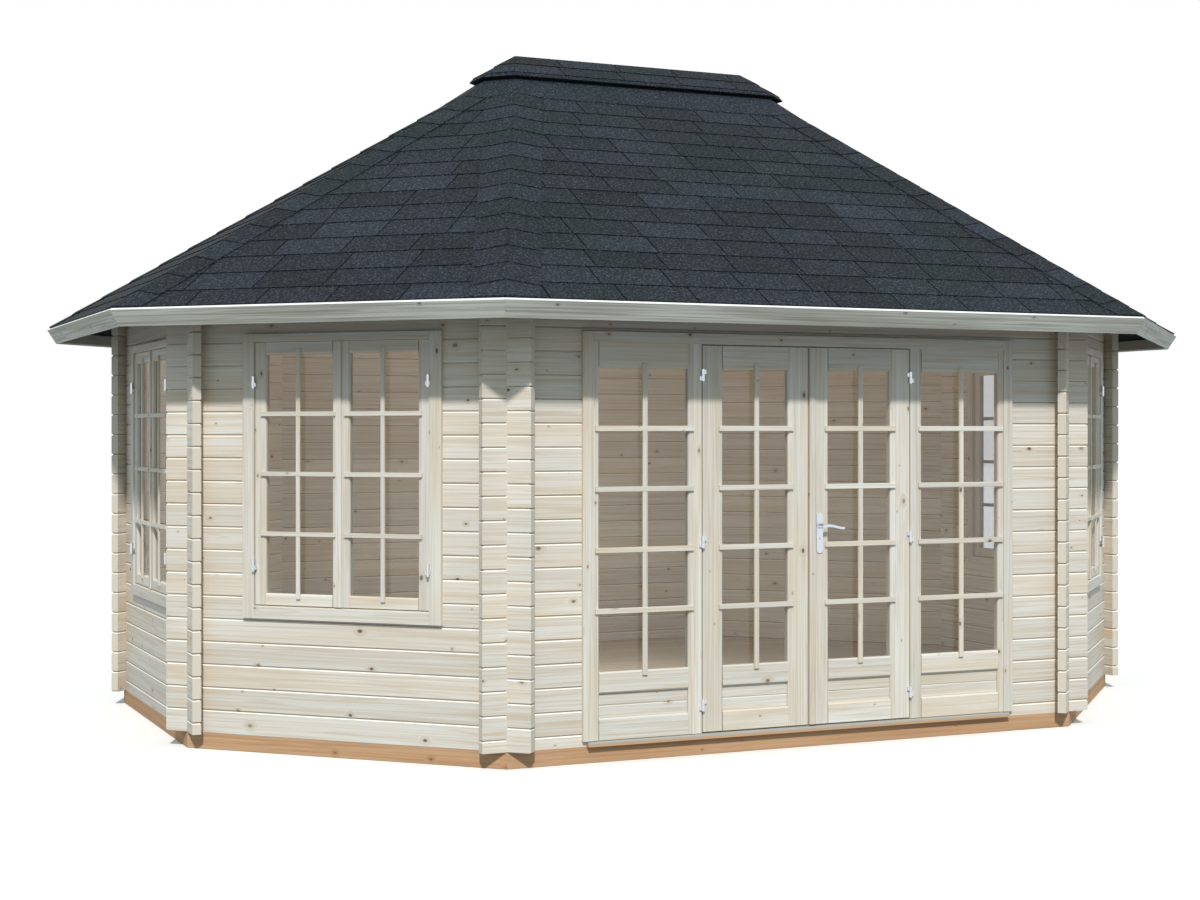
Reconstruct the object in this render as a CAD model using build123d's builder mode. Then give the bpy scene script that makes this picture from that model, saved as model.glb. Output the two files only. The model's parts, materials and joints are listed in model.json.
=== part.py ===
"""Closed garden gazebo: an eight-sided log cabin stretched along its front.

Interlocking logs cross at the eight corners.  A hipped roof of eight panels
covers a room with a double door, two side lights and four casement windows.
Millimetres, +Z up, origin on the ground under the middle of the plan.  The
doors face -Y.  The plan is a regular octagon stretched along X.
"""

import math
import os

from build123d import *

# Plan
side_length = 1760.0
stretch_length = 1500.0
corner_turn = 45.0
log_thickness = 44.0
log_course = 115.0
log_overrun = 124.0
groove_depth = 6.0
groove_half_height = 6.5
end_groove_depth = 11.0
notch_clearance = 0.3
band_shares = (0.25, 0.75)
square_course_share = 0.5

# Ground frame and floor
beam_width = 70.0
beam_height = 80.0
deck_thickness = 22.0
deck_clearance = 0.5
joist_width = 45.0
joist_spacing = 480.0
joist_count = 11

# Roof
roof_pitch = 31.6
overhang = 415.0
eave_height = 2188.0
cover_thickness = 5.0
board_thickness = 18.0
fascia_thickness = 18.0
fascia_width = 95.0
rafter_width = 45.0
rafter_depth = 95.0
ridge_beam_width = 45.0
ridge_beam_depth = 120.0
ridge_block_radius = 84.0
cap_reach = 228.0
cap_core_reach = 160.0
cap_rise = 50.0
roof_top_margin = 300.0

# Casement windows
window_width = 1044.0
window_bottom = 692.0
window_top = 2078.0
window_jamb = 40.0
casing_lip = 25.0
casing_proud = 20.0
frame_back = 56.0
casement_proud = 10.0
casement_depth = 40.0
casement_gap = 3.0
rebate_width = 14.0
casement_stile = 60.0
casement_meeting_stile = 46.0
casement_rail = 58.0
casement_cover_width = 30.0
casement_cover_thickness = 7.0
pane_thickness = 4.0
pane_setback = 18.0
hairline = 0.3
edge_bevel = 7.0

# Door unit
door_unit_half = 1221.0
door_casing_lip = 25.0
door_head_bottom = 2024.0
door_head_top = 2078.0
threshold_height = 26.0
threshold_proud = 30.0
door_jamb = 30.0
post_inner = 606.0
post_outer = 664.0
stop_width = 12.0
stop_depth = 12.0
leaf_proud = 14.0
leaf_depth = 42.0
leaf_gap = 6.0
meeting_gap = 9.0
stop_clearance = 6.0
leaf_stile = 112.0
glass_bottom = 435.0
glass_top = 1903.0
mid_rail_bottom = 331.0
bottom_rail_top = 212.0
panel_setback = 16.0
panel_thickness = 18.0
panel_groove = 4.0
light_stile = 32.0
light_inner_stile = 14.0
strip_width = 36.0
strip_thickness = 8.0

# Barrel hinges
casement_hinge_heights = (930.0, 1837.0)
casement_barrel_radius = 8.0
hinge_heights = (247.0, 1050.0, 1872.0)
barrel_radius = 9.0
barrel_half_height = 30.0
barrel_gap = 1.0
hinge_tab_width = 12.0
hinge_tab_height = 20.0
pin_radius = 4.0
pin_clearance = 0.5

# Lever handle
handle_x = 62.0
plate_centre = 1079.0
plate_height = 203.0
plate_width = 37.0
plate_thickness = 6.0
spindle_height = 1109.0
spindle_radius = 6.0
spindle_clearance = 1.0
lever_neck = 38.0
lever_length = 122.0
lever_thickness = 12.0
lever_drop = 8.0
lever_rise = 9.0
key_drop = 62.0
key_width = 6.0

half_depth = side_length / 2 + side_length * math.sin(math.radians(corner_turn))
half_stretch = stretch_length / 2
half_turn_tangent = math.tan(math.radians(corner_turn / 2))
pitch = math.radians(roof_pitch)
roof_apex = eave_height + (half_depth + overhang) * math.tan(pitch)
roof_ceiling = roof_apex + roof_top_margin
under_roof = -cover_thickness - board_thickness

# Turn of each wall about the vertical, counted from the front wall
walls = {
    "front": 0.0,
    "front_right": corner_turn,
    "right": 2 * corner_turn,
    "back_right": 3 * corner_turn,
    "back": 4 * corner_turn,
    "back_left": 5 * corner_turn,
    "left": 6 * corner_turn,
    "front_left": 7 * corner_turn,
}
long_walls = ("front", "back")
square_walls = ("front", "right", "back", "left")
diagonal_walls = ("front_right", "back_right", "back_left", "front_left")
window_walls = ("left", "front_left", "front_right", "right")


def along(wall):
    """Unit vector along a wall, left to right as seen from outside."""
    turn = math.radians(walls[wall])
    return Vector(math.cos(turn), math.sin(turn), 0)


def outward(wall):
    """Unit vector out of a wall."""
    turn = math.radians(walls[wall])
    return Vector(math.sin(turn), -math.cos(turn), 0)


def half_length(wall):
    """Half the length of a wall's outer face."""
    if wall in long_walls:
        return side_length / 2 + half_stretch
    return side_length / 2


def middle(wall):
    """Middle of a wall's outer face, at ground level."""
    shift = 0.0
    if wall not in long_walls:
        shift = math.copysign(half_stretch, outward(wall).X)
    return outward(wall) * half_depth + Vector(shift, 0, 0)


def neighbour(wall, step):
    """The wall next to this one: step -1 at its left end, +1 at its right."""
    names = list(walls)
    return names[(names.index(wall) + step) % len(names)]


def section_plane(wall, run):
    """Upright plane across a wall: local X is depth inwards, local Y is up."""
    return Plane(middle(wall) + along(wall) * run, x_dir=-outward(wall), z_dir=along(wall))


def plan_plane(wall, height):
    """Level plane at a wall: local X runs along it, local Y is depth inwards."""
    return Plane(middle(wall) + Vector(0, 0, height), x_dir=along(wall), z_dir=(0, 0, 1))


def roof_plane(wall, rise):
    """Roof slope over a wall, moved square to itself by rise."""
    normal = outward(wall) * math.sin(pitch) + Vector(0, 0, math.cos(pitch))
    edge = middle(wall) + outward(wall) * overhang + Vector(0, 0, eave_height)
    return Plane(edge + normal * rise, x_dir=along(wall), z_dir=normal)


def eave_plane(wall, setback):
    """Plane square to the slope at the eave, moved up the slope by setback."""
    downhill = outward(wall) * math.cos(pitch) - Vector(0, 0, math.sin(pitch))
    edge = middle(wall) + outward(wall) * overhang + Vector(0, 0, eave_height)
    return Plane(edge - downhill * setback, x_dir=along(wall), z_dir=downhill)


def face_plane(wall, depth):
    """Upright plane along a wall at a depth inwards, facing out."""
    return Plane(middle(wall) - outward(wall) * depth, x_dir=along(wall), z_dir=outward(wall))


def corner(wall, end, reach):
    """Plan corner at one end of a wall, with its outer face moved out by reach."""
    run = half_length(wall) + reach * half_turn_tangent
    point = middle(wall) + along(wall) * end * run + outward(wall) * reach
    return (point.X, point.Y)


def octagon(reach):
    """All plan corners with the outer faces moved out by reach."""
    return [corner(wall, -1, reach) for wall in walls]


def sector(wall, reach):
    """Plan of one roof facet, from its eave to the ridge."""
    near = math.copysign(half_stretch, along(wall).X)
    ridge_ends = [(near, 0.0), (-near, 0.0)]
    if wall not in long_walls:
        ridge_ends = [(math.copysign(half_stretch, outward(wall).X), 0.0)]
    return [corner(wall, -1, reach), corner(wall, 1, reach)] + ridge_ends


def course_start(wall):
    """Share of a course by which a wall's joints are offset at the bottom."""
    return square_course_share if wall in square_walls else 0.0


def log_section(wall, bottom, top):
    """Outline of a stack of logs with a groove at each joint on both faces."""
    first = beam_height + course_start(wall) * log_course
    joints = []
    height = first
    while height < top - groove_half_height:
        if height > bottom + groove_half_height:
            joints.append(height)
        height += log_course
    outer = [(0.0, bottom)]
    inner = [(log_thickness, bottom)]
    for joint in joints:
        outer.append((0.0, joint - groove_half_height))
        outer.append((groove_depth, joint))
        outer.append((0.0, joint + groove_half_height))
        inner.append((log_thickness, joint - groove_half_height))
        inner.append((log_thickness - groove_depth, joint))
        inner.append((log_thickness, joint + groove_half_height))
    outer.append((0.0, top))
    inner.append((log_thickness, top))
    return outer + inner[::-1]


def logs(wall, run_from, run_to, bottom, top):
    """Stack of logs in the open part, notched where it crosses a neighbour."""
    with BuildSketch(section_plane(wall, run_from)) as section:
        with BuildLine():
            Polyline(*log_section(wall, bottom, top), close=True)
        make_face()
    extrude(section.sketch, amount=run_to - run_from, mode=Mode.ADD)


def end_grooves(wall, end):
    """Cut a groove across the log ends at each joint, at one end of a wall."""
    run = end * (half_length(wall) + log_overrun)
    joint = beam_height + course_start(wall) * log_course
    with BuildSketch(face_plane(wall, 0.0)) as grooves:
        while joint < roof_ceiling - log_course:
            with BuildLine():
                Polyline(
                    (run, joint - groove_half_height),
                    (run, joint + groove_half_height),
                    (run - end * end_groove_depth, joint),
                    close=True,
                )
            make_face()
            joint += log_course
    extrude(grooves.sketch, amount=-log_thickness, mode=Mode.SUBTRACT)


def notches(wall, end):
    """Cut the bands that the neighbour's logs take at one end of a wall."""
    other = neighbour(wall, end)
    reach = half_length(other) + 2 * log_overrun
    start = -end * reach
    if end < 0:
        start = reach - 4 * log_overrun
    band = (band_shares[1] - band_shares[0]) * log_course
    first = beam_height + (course_start(other) + band_shares[0]) * log_course - log_course
    heights = []
    height = first + band / 2
    while height < roof_ceiling - log_course:
        heights.append((log_thickness / 2, height))
        height += log_course
    with BuildSketch(section_plane(other, start)) as bands:
        with Locations(*heights):
            Rectangle(log_thickness + 2 * notch_clearance, band + 2 * notch_clearance)
    extrude(bands.sketch, amount=4 * log_overrun, mode=Mode.SUBTRACT)


def trim_to_roof(wall):
    """Cut a stack of logs to the slopes over it and over its neighbours."""
    for name in (wall, neighbour(wall, -1), neighbour(wall, 1)):
        split(bisect_by=roof_plane(name, under_roof), keep=Keep.BOTTOM)


def member(wall, outline, bottom, top):
    """Upright member in the open part, from its plan outline."""
    with BuildSketch(plan_plane(wall, bottom)) as plan:
        with BuildLine():
            Polyline(*outline, close=True)
        make_face()
    extrude(plan.sketch, amount=top - bottom, mode=Mode.ADD)


def rail(wall, outline, run_from, run_to):
    """Level member in the open part, from its upright section."""
    with BuildSketch(section_plane(wall, run_from)) as section:
        with BuildLine():
            Polyline(*outline, close=True)
        make_face()
    extrude(section.sketch, amount=run_to - run_from, mode=Mode.ADD)


def box_outline(low, high, front, back):
    """Rectangle from two values along and two values across."""
    return [(low, front), (high, front), (high, back), (low, back)]


def stile_outline(edge, glass_edge, front, back):
    """Plan of a stile with its outer arris beside the glass bevelled."""
    inward = math.copysign(edge_bevel, edge - glass_edge)
    return [
        (edge, front),
        (glass_edge + inward, front),
        (glass_edge, front + edge_bevel),
        (glass_edge, back),
        (edge, back),
    ]


def rail_outline(bottom, top, front, back, bevel_bottom, bevel_top):
    """Section of a rail, with the arrises beside glass or panel bevelled."""
    points = [(back, bottom)]
    if bevel_bottom:
        points += [(front + edge_bevel, bottom), (front, bottom + edge_bevel)]
    else:
        points += [(front, bottom)]
    if bevel_top:
        points += [(front, top - edge_bevel), (front + edge_bevel, top)]
    else:
        points += [(front, top)]
    return points + [(back, top)]


def roof_sector(wall, reach):
    """Upright prism over the plan of one roof facet, in the open part."""
    with BuildSketch(Plane.XY) as plan:
        with BuildLine():
            Polyline(*sector(wall, reach), close=True)
        make_face()
    extrude(plan.sketch, amount=roof_ceiling, mode=Mode.ADD)


def casement_heights():
    """Bottom and top of the casements within a window frame."""
    bottom = window_bottom + window_jamb + casement_gap
    top = window_top - window_jamb - casement_gap
    return bottom, top


def casement_runs():
    """Outer edge, glass edges and meeting edge of the right-hand casement."""
    outer = window_width / 2 - window_jamb - casement_gap
    meeting = casement_gap / 2
    return meeting, meeting + casement_meeting_stile, outer - casement_stile, outer


os.makedirs("parts", exist_ok=True)

# Ground frame: mitred beams under the walls, in two rings of four
with BuildPart() as square_beams:
    for name in square_walls:
        ends = [corner(name, -1, 0.0), corner(name, 1, 0.0)]
        ends += [corner(name, 1, -beam_width), corner(name, -1, -beam_width)]
        with BuildSketch(Plane.XY) as beam_plan:
            with BuildLine():
                Polyline(*ends, close=True)
            make_face()
        extrude(beam_plan.sketch, amount=beam_height)
square_beams.part.label = "ground_beams_square"
export_step(square_beams.part, "parts/ground_beams_square.step")

with BuildPart() as diagonal_beams:
    for name in diagonal_walls:
        ends = [corner(name, -1, 0.0), corner(name, 1, 0.0)]
        ends += [corner(name, 1, -beam_width), corner(name, -1, -beam_width)]
        with BuildSketch(Plane.XY) as beam_plan:
            with BuildLine():
                Polyline(*ends, close=True)
            make_face()
        extrude(beam_plan.sketch, amount=beam_height)
diagonal_beams.part.label = "ground_beams_diagonal"
export_step(diagonal_beams.part, "parts/ground_beams_diagonal.step")

# Floor: joists on the ground and the deck that lies on them
with BuildPart() as joists:
    with BuildSketch(Plane.XY) as joist_plan:
        with GridLocations(joist_spacing, joist_spacing, joist_count, 1):
            Rectangle(joist_width, 2 * half_depth)
        with BuildLine():
            Polyline(*octagon(-beam_width - deck_clearance), close=True)
        make_face(mode=Mode.INTERSECT)
    extrude(joist_plan.sketch, amount=beam_height - deck_thickness)
joists.part.label = "floor_joists"
export_step(joists.part, "parts/floor_joists.step")

with BuildPart() as deck:
    with BuildSketch(Plane.XY.offset(beam_height - deck_thickness)) as deck_plan:
        with BuildLine():
            Polyline(*octagon(-beam_width - deck_clearance), close=True)
        make_face()
    extrude(deck_plan.sketch, amount=deck_thickness)
deck.part.label = "floor_deck"
export_step(deck.part, "parts/floor_deck.step")

# Plain walls at the back
for name in ("back_right", "back", "back_left"):
    run = half_length(name) + log_overrun
    with BuildPart() as plain_wall:
        logs(name, -run, run, beam_height, roof_ceiling - log_course)
        end_grooves(name, -1)
        end_grooves(name, 1)
        notches(name, -1)
        notches(name, 1)
        trim_to_roof(name)
    plain_wall.part.label = name + "_wall"
    export_step(plain_wall.part, "parts/" + name + "_wall.step")

# Window walls: whole logs under and over the window, short ones beside it
for name in window_walls:
    run = half_length(name) + log_overrun
    with BuildPart() as whole_logs:
        logs(name, -run, run, beam_height, window_bottom)
        logs(name, -run, run, window_top, roof_ceiling - log_course)
        end_grooves(name, -1)
        end_grooves(name, 1)
        notches(name, -1)
        notches(name, 1)
        trim_to_roof(name)
    whole_logs.part.label = name + "_wall"
    export_step(whole_logs.part, "parts/" + name + "_wall.step")

    with BuildPart() as short_logs:
        logs(name, -run, -window_width / 2, window_bottom, window_top)
        logs(name, window_width / 2, run, window_bottom, window_top)
        end_grooves(name, -1)
        end_grooves(name, 1)
        notches(name, -1)
        notches(name, 1)
    short_logs.part.label = name + "_wall_beside_window"
    export_step(short_logs.part, "parts/" + name + "_wall_beside_window.step")

# Front wall: short logs beside the door unit, whole ones over it
front_run = half_length("front") + log_overrun
with BuildPart() as front_sides:
    logs("front", -front_run, -door_unit_half, beam_height, door_head_top)
    logs("front", door_unit_half, front_run, beam_height, door_head_top)
    end_grooves("front", -1)
    end_grooves("front", 1)
    notches("front", -1)
    notches("front", 1)
front_sides.part.label = "front_wall_beside_door"
export_step(front_sides.part, "parts/front_wall_beside_door.step")

with BuildPart() as front_header:
    logs("front", -front_run, front_run, door_head_top, roof_ceiling - log_course)
    end_grooves("front", -1)
    end_grooves("front", 1)
    notches("front", -1)
    notches("front", 1)
    trim_to_roof("front")
front_header.part.label = "front_wall_over_door"
export_step(front_header.part, "parts/front_wall_over_door.step")

# Window frames: jambs with a casing lip over the logs, head and sill
half = window_width / 2 - hairline
rebate_front = casement_depth - casement_proud + hairline
inner = half - window_jamb - hairline
sill = [
    (-casing_proud, window_bottom - casing_lip),
    (-hairline, window_bottom - casing_lip),
    (-hairline, window_bottom + hairline),
    (frame_back, window_bottom + hairline),
    (frame_back, window_bottom + window_jamb),
    (0.0, window_bottom + window_jamb),
    (-casing_proud, window_bottom + window_jamb - edge_bevel),
]
head = [
    (-casing_proud, window_top - window_jamb),
    (frame_back, window_top - window_jamb),
    (frame_back, window_top - hairline),
    (-casing_proud, window_top - hairline),
]
with BuildPart() as window_frames:
    for name in window_walls:
        for end in (-1, 1):
            jamb = [
                (end * (half + casing_lip), -casing_proud),
                (end * (half - window_jamb), -casing_proud),
                (end * (half - window_jamb), frame_back),
                (end * half, frame_back),
                (end * half, -hairline),
                (end * (half + casing_lip), -hairline),
            ]
            member(name, jamb, window_bottom + hairline, window_top - hairline)
            foot = box_outline(
                end * (half - window_jamb), end * (half + casing_lip), -casing_proud, -hairline
            )
            member(name, foot, window_bottom - casing_lip, window_bottom + hairline)
            stop = box_outline(end * inner, end * (inner - rebate_width), rebate_front, frame_back)
            stop_low = window_bottom + window_jamb + hairline
            member(name, stop, stop_low, window_top - window_jamb - hairline)
        rail(name, sill, -inner, inner)
        rail(name, head, -inner, inner)
window_frames.part.label = "window_frames"
export_step(window_frames.part, "parts/window_frames.step")

# Casements: two side-hung glazed leaves in each window
low, high = casement_heights()
meeting, glass_in, glass_out, outer = casement_runs()
front = -casement_proud
back = casement_depth - casement_proud
lower = rail_outline(low, low + casement_rail, front, back, False, True)
upper = rail_outline(high - casement_rail, high, front, back, True, False)
cover = box_outline(
    meeting - casement_cover_width,
    meeting + casement_gap,
    front - casement_cover_thickness,
    front - hairline,
)
with BuildPart() as casements:
    for name in window_walls:
        for end in (-1, 1):
            member(name, stile_outline(end * outer, end * glass_out, front, back), low, high)
            member(name, stile_outline(end * meeting, end * glass_in, front, back), low, high)
            runs = sorted((end * (glass_in + hairline), end * (glass_out - hairline)))
            rail(name, lower, *runs)
            rail(name, upper, *runs)
        member(name, cover, low, high)
casements.part.label = "window_casements"
export_step(casements.part, "parts/window_casements.step")

with BuildPart() as window_panes:
    for name in window_walls:
        for end in (-1, 1):
            runs = sorted((end * (glass_in + hairline), end * (glass_out - hairline)))
            pane_front = pane_setback - casement_proud
            pane = box_outline(runs[0], runs[1], pane_front, pane_front + pane_thickness)
            member(name, pane, low + casement_rail + hairline, high - casement_rail - hairline)
window_panes.part.label = "window_panes"
export_step(window_panes.part, "parts/window_panes.step")

# Casement hinges: a barrel over each hanging gap, with a tab on either side
barrel_run = outer + casement_gap / 2
barrel_depth = -casing_proud - casement_barrel_radius
with BuildPart() as casement_hinges:
    for name in window_walls:
        for bottom in [height - barrel_half_height for height in casement_hinge_heights]:
            for end in (-1, 1):
                with BuildSketch(plan_plane(name, bottom)) as barrel_plan:
                    with Locations((end * barrel_run, barrel_depth)):
                        Circle(casement_barrel_radius)
                extrude(barrel_plan.sketch, amount=2 * barrel_half_height)
                inner_tab = box_outline(
                    end * (outer - hinge_tab_width), end * (outer - hairline), barrel_depth, front
                )
                member(name, inner_tab, bottom + barrel_radius, bottom + barrel_radius + hinge_tab_height)
                outer_tab = box_outline(
                    end * barrel_run, end * (outer + hinge_tab_width), barrel_depth, -casing_proud
                )
                member(name, outer_tab, bottom + barrel_radius, bottom + barrel_radius + hinge_tab_height)
casement_hinges.part.label = "window_hinges"
export_step(casement_hinges.part, "parts/window_hinges.step")

# Door unit: threshold, jambs and posts with their stops, and the head
leaf_front = -leaf_proud
leaf_back = leaf_front + leaf_depth
stop_front = leaf_back + stop_clearance
leaf_low = beam_height + threshold_height + leaf_gap
leaf_high = door_head_bottom - leaf_gap

with BuildPart() as threshold:
    step = [
        (-threshold_proud, beam_height),
        (frame_back, beam_height),
        (frame_back, beam_height + threshold_height),
        (0.0, beam_height + threshold_height),
        (-threshold_proud, beam_height + threshold_height - edge_bevel),
    ]
    rail("front", step, -door_unit_half + hairline, door_unit_half - hairline)
threshold.part.label = "door_threshold"
export_step(threshold.part, "parts/door_threshold.step")

with BuildPart() as door_posts:
    for end in (-1, 1):
        edge = door_unit_half - hairline
        jamb = [
            (end * (edge + door_casing_lip), -casing_proud),
            (end * (edge - door_jamb), -casing_proud),
            (end * (edge - door_jamb), frame_back),
            (end * edge, frame_back),
            (end * edge, -hairline),
            (end * (edge + door_casing_lip), -hairline),
        ]
        member("front", jamb, beam_height + threshold_height, door_head_top - hairline)
        stop_back = stop_front + stop_depth
        post = box_outline(end * post_inner, end * post_outer, leaf_front, stop_back)
        member("front", post, beam_height + threshold_height, door_head_bottom)
        stop_edge = post_inner - leaf_gap - stop_width
        stop = box_outline(end * stop_edge, end * (post_inner - hairline), stop_front, stop_back)
        member("front", stop, beam_height + threshold_height, door_head_bottom)
door_posts.part.label = "door_jambs_and_posts"
export_step(door_posts.part, "parts/door_jambs_and_posts.step")

with BuildPart() as door_head:
    beam = [
        (-casing_proud, door_head_bottom),
        (frame_back, door_head_bottom),
        (frame_back, door_head_top - hairline),
        (-casing_proud, door_head_top - hairline),
    ]
    head_edge = door_unit_half - door_jamb - 2 * hairline
    rail("front", beam, -head_edge, head_edge)
    head_stop = [
        (stop_front, door_head_bottom - leaf_gap - stop_width),
        (stop_front + stop_depth, door_head_bottom - leaf_gap - stop_width),
        (stop_front + stop_depth, door_head_bottom - hairline),
        (stop_front, door_head_bottom - hairline),
    ]
    stop_run = post_inner - leaf_gap - stop_width - hairline
    rail("front", head_stop, -stop_run, stop_run)
door_head.part.label = "door_head"
export_step(door_head.part, "parts/door_head.step")


def glazed_frame(stiles, low, high):
    """Stiles, rails and boarded panel of a door leaf or side light.

    stiles holds the outer edge, the two glass edges and the other edge.
    """
    first, glass_a, glass_b, last = stiles
    front = leaf_front
    back = leaf_back
    member("front", stile_outline(first, glass_a, front, back), low, high)
    member("front", stile_outline(last, glass_b, front, back), low, high)
    runs = (glass_a + hairline, glass_b - hairline)
    rail("front", rail_outline(low, bottom_rail_top, front, back, False, True), *runs)
    rail("front", rail_outline(mid_rail_bottom, glass_bottom, front, back, True, True), *runs)
    rail("front", rail_outline(glass_top, high, front, back, True, False), *runs)
    panel_front = front + panel_setback
    panel_back = panel_front + panel_thickness
    joint = (bottom_rail_top + mid_rail_bottom) / 2
    boards = [
        (panel_front, bottom_rail_top + hairline),
        (panel_back, bottom_rail_top + hairline),
        (panel_back, mid_rail_bottom - hairline),
        (panel_front, mid_rail_bottom - hairline),
        (panel_front, joint + panel_groove),
        (panel_front + panel_groove, joint),
        (panel_front, joint - panel_groove),
    ]
    rail("front", boards, *runs)


def glass_sheet(glass_a, glass_b):
    """Pane between two glass edges of the front wall."""
    front = leaf_front + pane_setback
    pane = box_outline(glass_a + hairline, glass_b - hairline, front, front + pane_thickness)
    member("front", pane, glass_bottom + hairline, glass_top - hairline)


# Fixed side lights between the jambs and the posts
light_edge = door_unit_half - door_jamb - 2 * hairline
light_runs = (post_outer + hairline, post_outer + light_inner_stile, light_edge - light_stile, light_edge)
light_low = beam_height + threshold_height + hairline
light_high = door_head_bottom - hairline
with BuildPart() as side_lights:
    glazed_frame(light_runs, light_low, light_high)
    glazed_frame([-run for run in reversed(light_runs)], light_low, light_high)
side_lights.part.label = "side_lights"
export_step(side_lights.part, "parts/side_lights.step")

with BuildPart() as side_panes:
    glass_sheet(light_runs[1], light_runs[2])
    glass_sheet(-light_runs[2], -light_runs[1])
side_panes.part.label = "side_light_panes"
export_step(side_panes.part, "parts/side_light_panes.step")

# Double door: two leaves that swing out
meeting_edge = meeting_gap / 2
hinge_edge = post_inner - leaf_gap
leaf_runs = (meeting_edge, meeting_edge + leaf_stile, hinge_edge - leaf_stile, hinge_edge)
with BuildPart() as left_leaf:
    glazed_frame([-run for run in reversed(leaf_runs)], leaf_low, leaf_high)
left_leaf.part.label = "left_door_leaf"
export_step(left_leaf.part, "parts/left_door_leaf.step")

with BuildPart() as left_pane:
    glass_sheet(-leaf_runs[2], -leaf_runs[1])
left_pane.part.label = "left_door_pane"
export_step(left_pane.part, "parts/left_door_pane.step")

spindle_plane = Plane(
    middle("front") + Vector(handle_x, -2 * leaf_depth, spindle_height),
    x_dir=(1, 0, 0),
    z_dir=(0, 1, 0),
)
with BuildPart() as right_leaf:
    glazed_frame(leaf_runs, leaf_low, leaf_high)
    with BuildSketch(spindle_plane) as bore:
        Circle(spindle_radius + spindle_clearance)
    extrude(bore.sketch, amount=4 * leaf_depth, mode=Mode.SUBTRACT)
right_leaf.part.label = "right_door_leaf"
export_step(right_leaf.part, "parts/right_door_leaf.step")

with BuildPart() as right_pane:
    glass_sheet(leaf_runs[1], leaf_runs[2])
right_pane.part.label = "right_door_pane"
export_step(right_pane.part, "parts/right_door_pane.step")

with BuildPart() as meeting_strip:
    strip = [
        (meeting_edge, leaf_front),
        (meeting_edge, leaf_front - strip_thickness / 2),
        (meeting_edge + strip_thickness / 2, leaf_front - strip_thickness),
        (meeting_edge + strip_width - strip_thickness / 2, leaf_front - strip_thickness),
        (meeting_edge + strip_width, leaf_front - strip_thickness / 2),
        (meeting_edge + strip_width, leaf_front),
    ]
    member("front", strip, leaf_low, leaf_high)
meeting_strip.part.label = "meeting_strip"
export_step(meeting_strip.part, "parts/meeting_strip.step")

# Barrel hinges: a lower barrel with a pin on each post, an upper one on the leaf
hinge_run = post_inner - leaf_gap / 2
hinge_depth = leaf_front - barrel_radius


def barrel(end, height, tab_side, hollow):
    """One half barrel with the tab that joins it to the timber beside it."""
    half_gap = barrel_gap / 2
    bottom = height + half_gap if hollow else height - barrel_half_height
    with BuildSketch(plan_plane("front", bottom)) as ring:
        with Locations((end * hinge_run, hinge_depth)):
            Circle(barrel_radius)
            if hollow:
                Circle(pin_radius + pin_clearance, mode=Mode.SUBTRACT)
    extrude(ring.sketch, amount=barrel_half_height - half_gap, mode=Mode.ADD)
    tab_bottom = bottom + (barrel_half_height - half_gap - hinge_tab_height) / 2
    tab_middle = end * hinge_run + tab_side * end * (barrel_radius + hinge_tab_width / 2 - leaf_gap / 2)
    with BuildSketch(plan_plane("front", tab_bottom)) as tab:
        with Locations((tab_middle, leaf_front - barrel_radius / 2)):
            Rectangle(hinge_tab_width, barrel_radius)
    extrude(tab.sketch, amount=hinge_tab_height, mode=Mode.ADD)
    if not hollow:
        with BuildSketch(plan_plane("front", height - half_gap)) as pin:
            with Locations((end * hinge_run, hinge_depth)):
                Circle(pin_radius)
        extrude(pin.sketch, amount=barrel_half_height, mode=Mode.ADD)


with BuildPart() as post_hinges:
    for end in (-1, 1):
        for height in hinge_heights:
            barrel(end, height, 1, False)
post_hinges.part.label = "hinge_pins"
export_step(post_hinges.part, "parts/hinge_pins.step")

with BuildPart() as left_hinges:
    for height in hinge_heights:
        barrel(-1, height, -1, True)
left_hinges.part.label = "left_door_hinges"
export_step(left_hinges.part, "parts/left_door_hinges.step")

with BuildPart() as right_hinges:
    for height in hinge_heights:
        barrel(1, height, -1, True)
right_hinges.part.label = "right_door_hinges"
export_step(right_hinges.part, "parts/right_door_hinges.step")

# Lever handle: a plate on each face, and a lever that turns in both
outer_face = leaf_front
inner_face = leaf_back
with BuildPart() as plates:
    for face, thick in ((outer_face, -plate_thickness), (inner_face, plate_thickness)):
        plate_plane = Plane(
            middle("front") + Vector(handle_x, face, plate_centre), x_dir=(1, 0, 0), z_dir=(0, -1, 0)
        )
        with BuildSketch(plate_plane) as plate_outline:
            SlotOverall(plate_height, plate_width, rotation=90)
            with Locations((0, spindle_height - plate_centre)):
                Circle(spindle_radius + spindle_clearance, mode=Mode.SUBTRACT)
            with Locations((0, spindle_height - plate_centre - key_drop)):
                SlotOverall(3 * key_width, key_width, rotation=90, mode=Mode.SUBTRACT)
        extrude(plate_outline.sketch, amount=-thick)
plates.part.label = "handle_plates"
export_step(plates.part, "parts/handle_plates.step")

with BuildPart() as lever:
    neck_front = outer_face - plate_thickness - lever_neck
    neck_back = inner_face + plate_thickness + lever_neck
    neck_plane = Plane(
        middle("front") + Vector(handle_x, neck_front, spindle_height), x_dir=(1, 0, 0), z_dir=(0, 1, 0)
    )
    with BuildSketch(neck_plane) as neck:
        Circle(spindle_radius)
    extrude(neck.sketch, amount=neck_back - neck_front)
    for depth in (neck_front, neck_back):
        arm_plane = Plane(
            middle("front") + Vector(handle_x, depth, spindle_height), x_dir=(1, 0, 0), z_dir=(0, -1, 0)
        )
        with BuildSketch(arm_plane) as arm_outline:
            with BuildLine() as arm_path:
                Spline(
                    (-spindle_radius, 0),
                    (lever_length / 3, lever_rise),
                    (2 * lever_length / 3, 0),
                    (lever_length, -lever_drop / 2),
                )
            trace(arm_path.line, line_width=lever_thickness)
        extrude(arm_outline.sketch, amount=lever_thickness / 2, both=True)
lever.part.label = "lever"
export_step(lever.part, "parts/lever.step")

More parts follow.
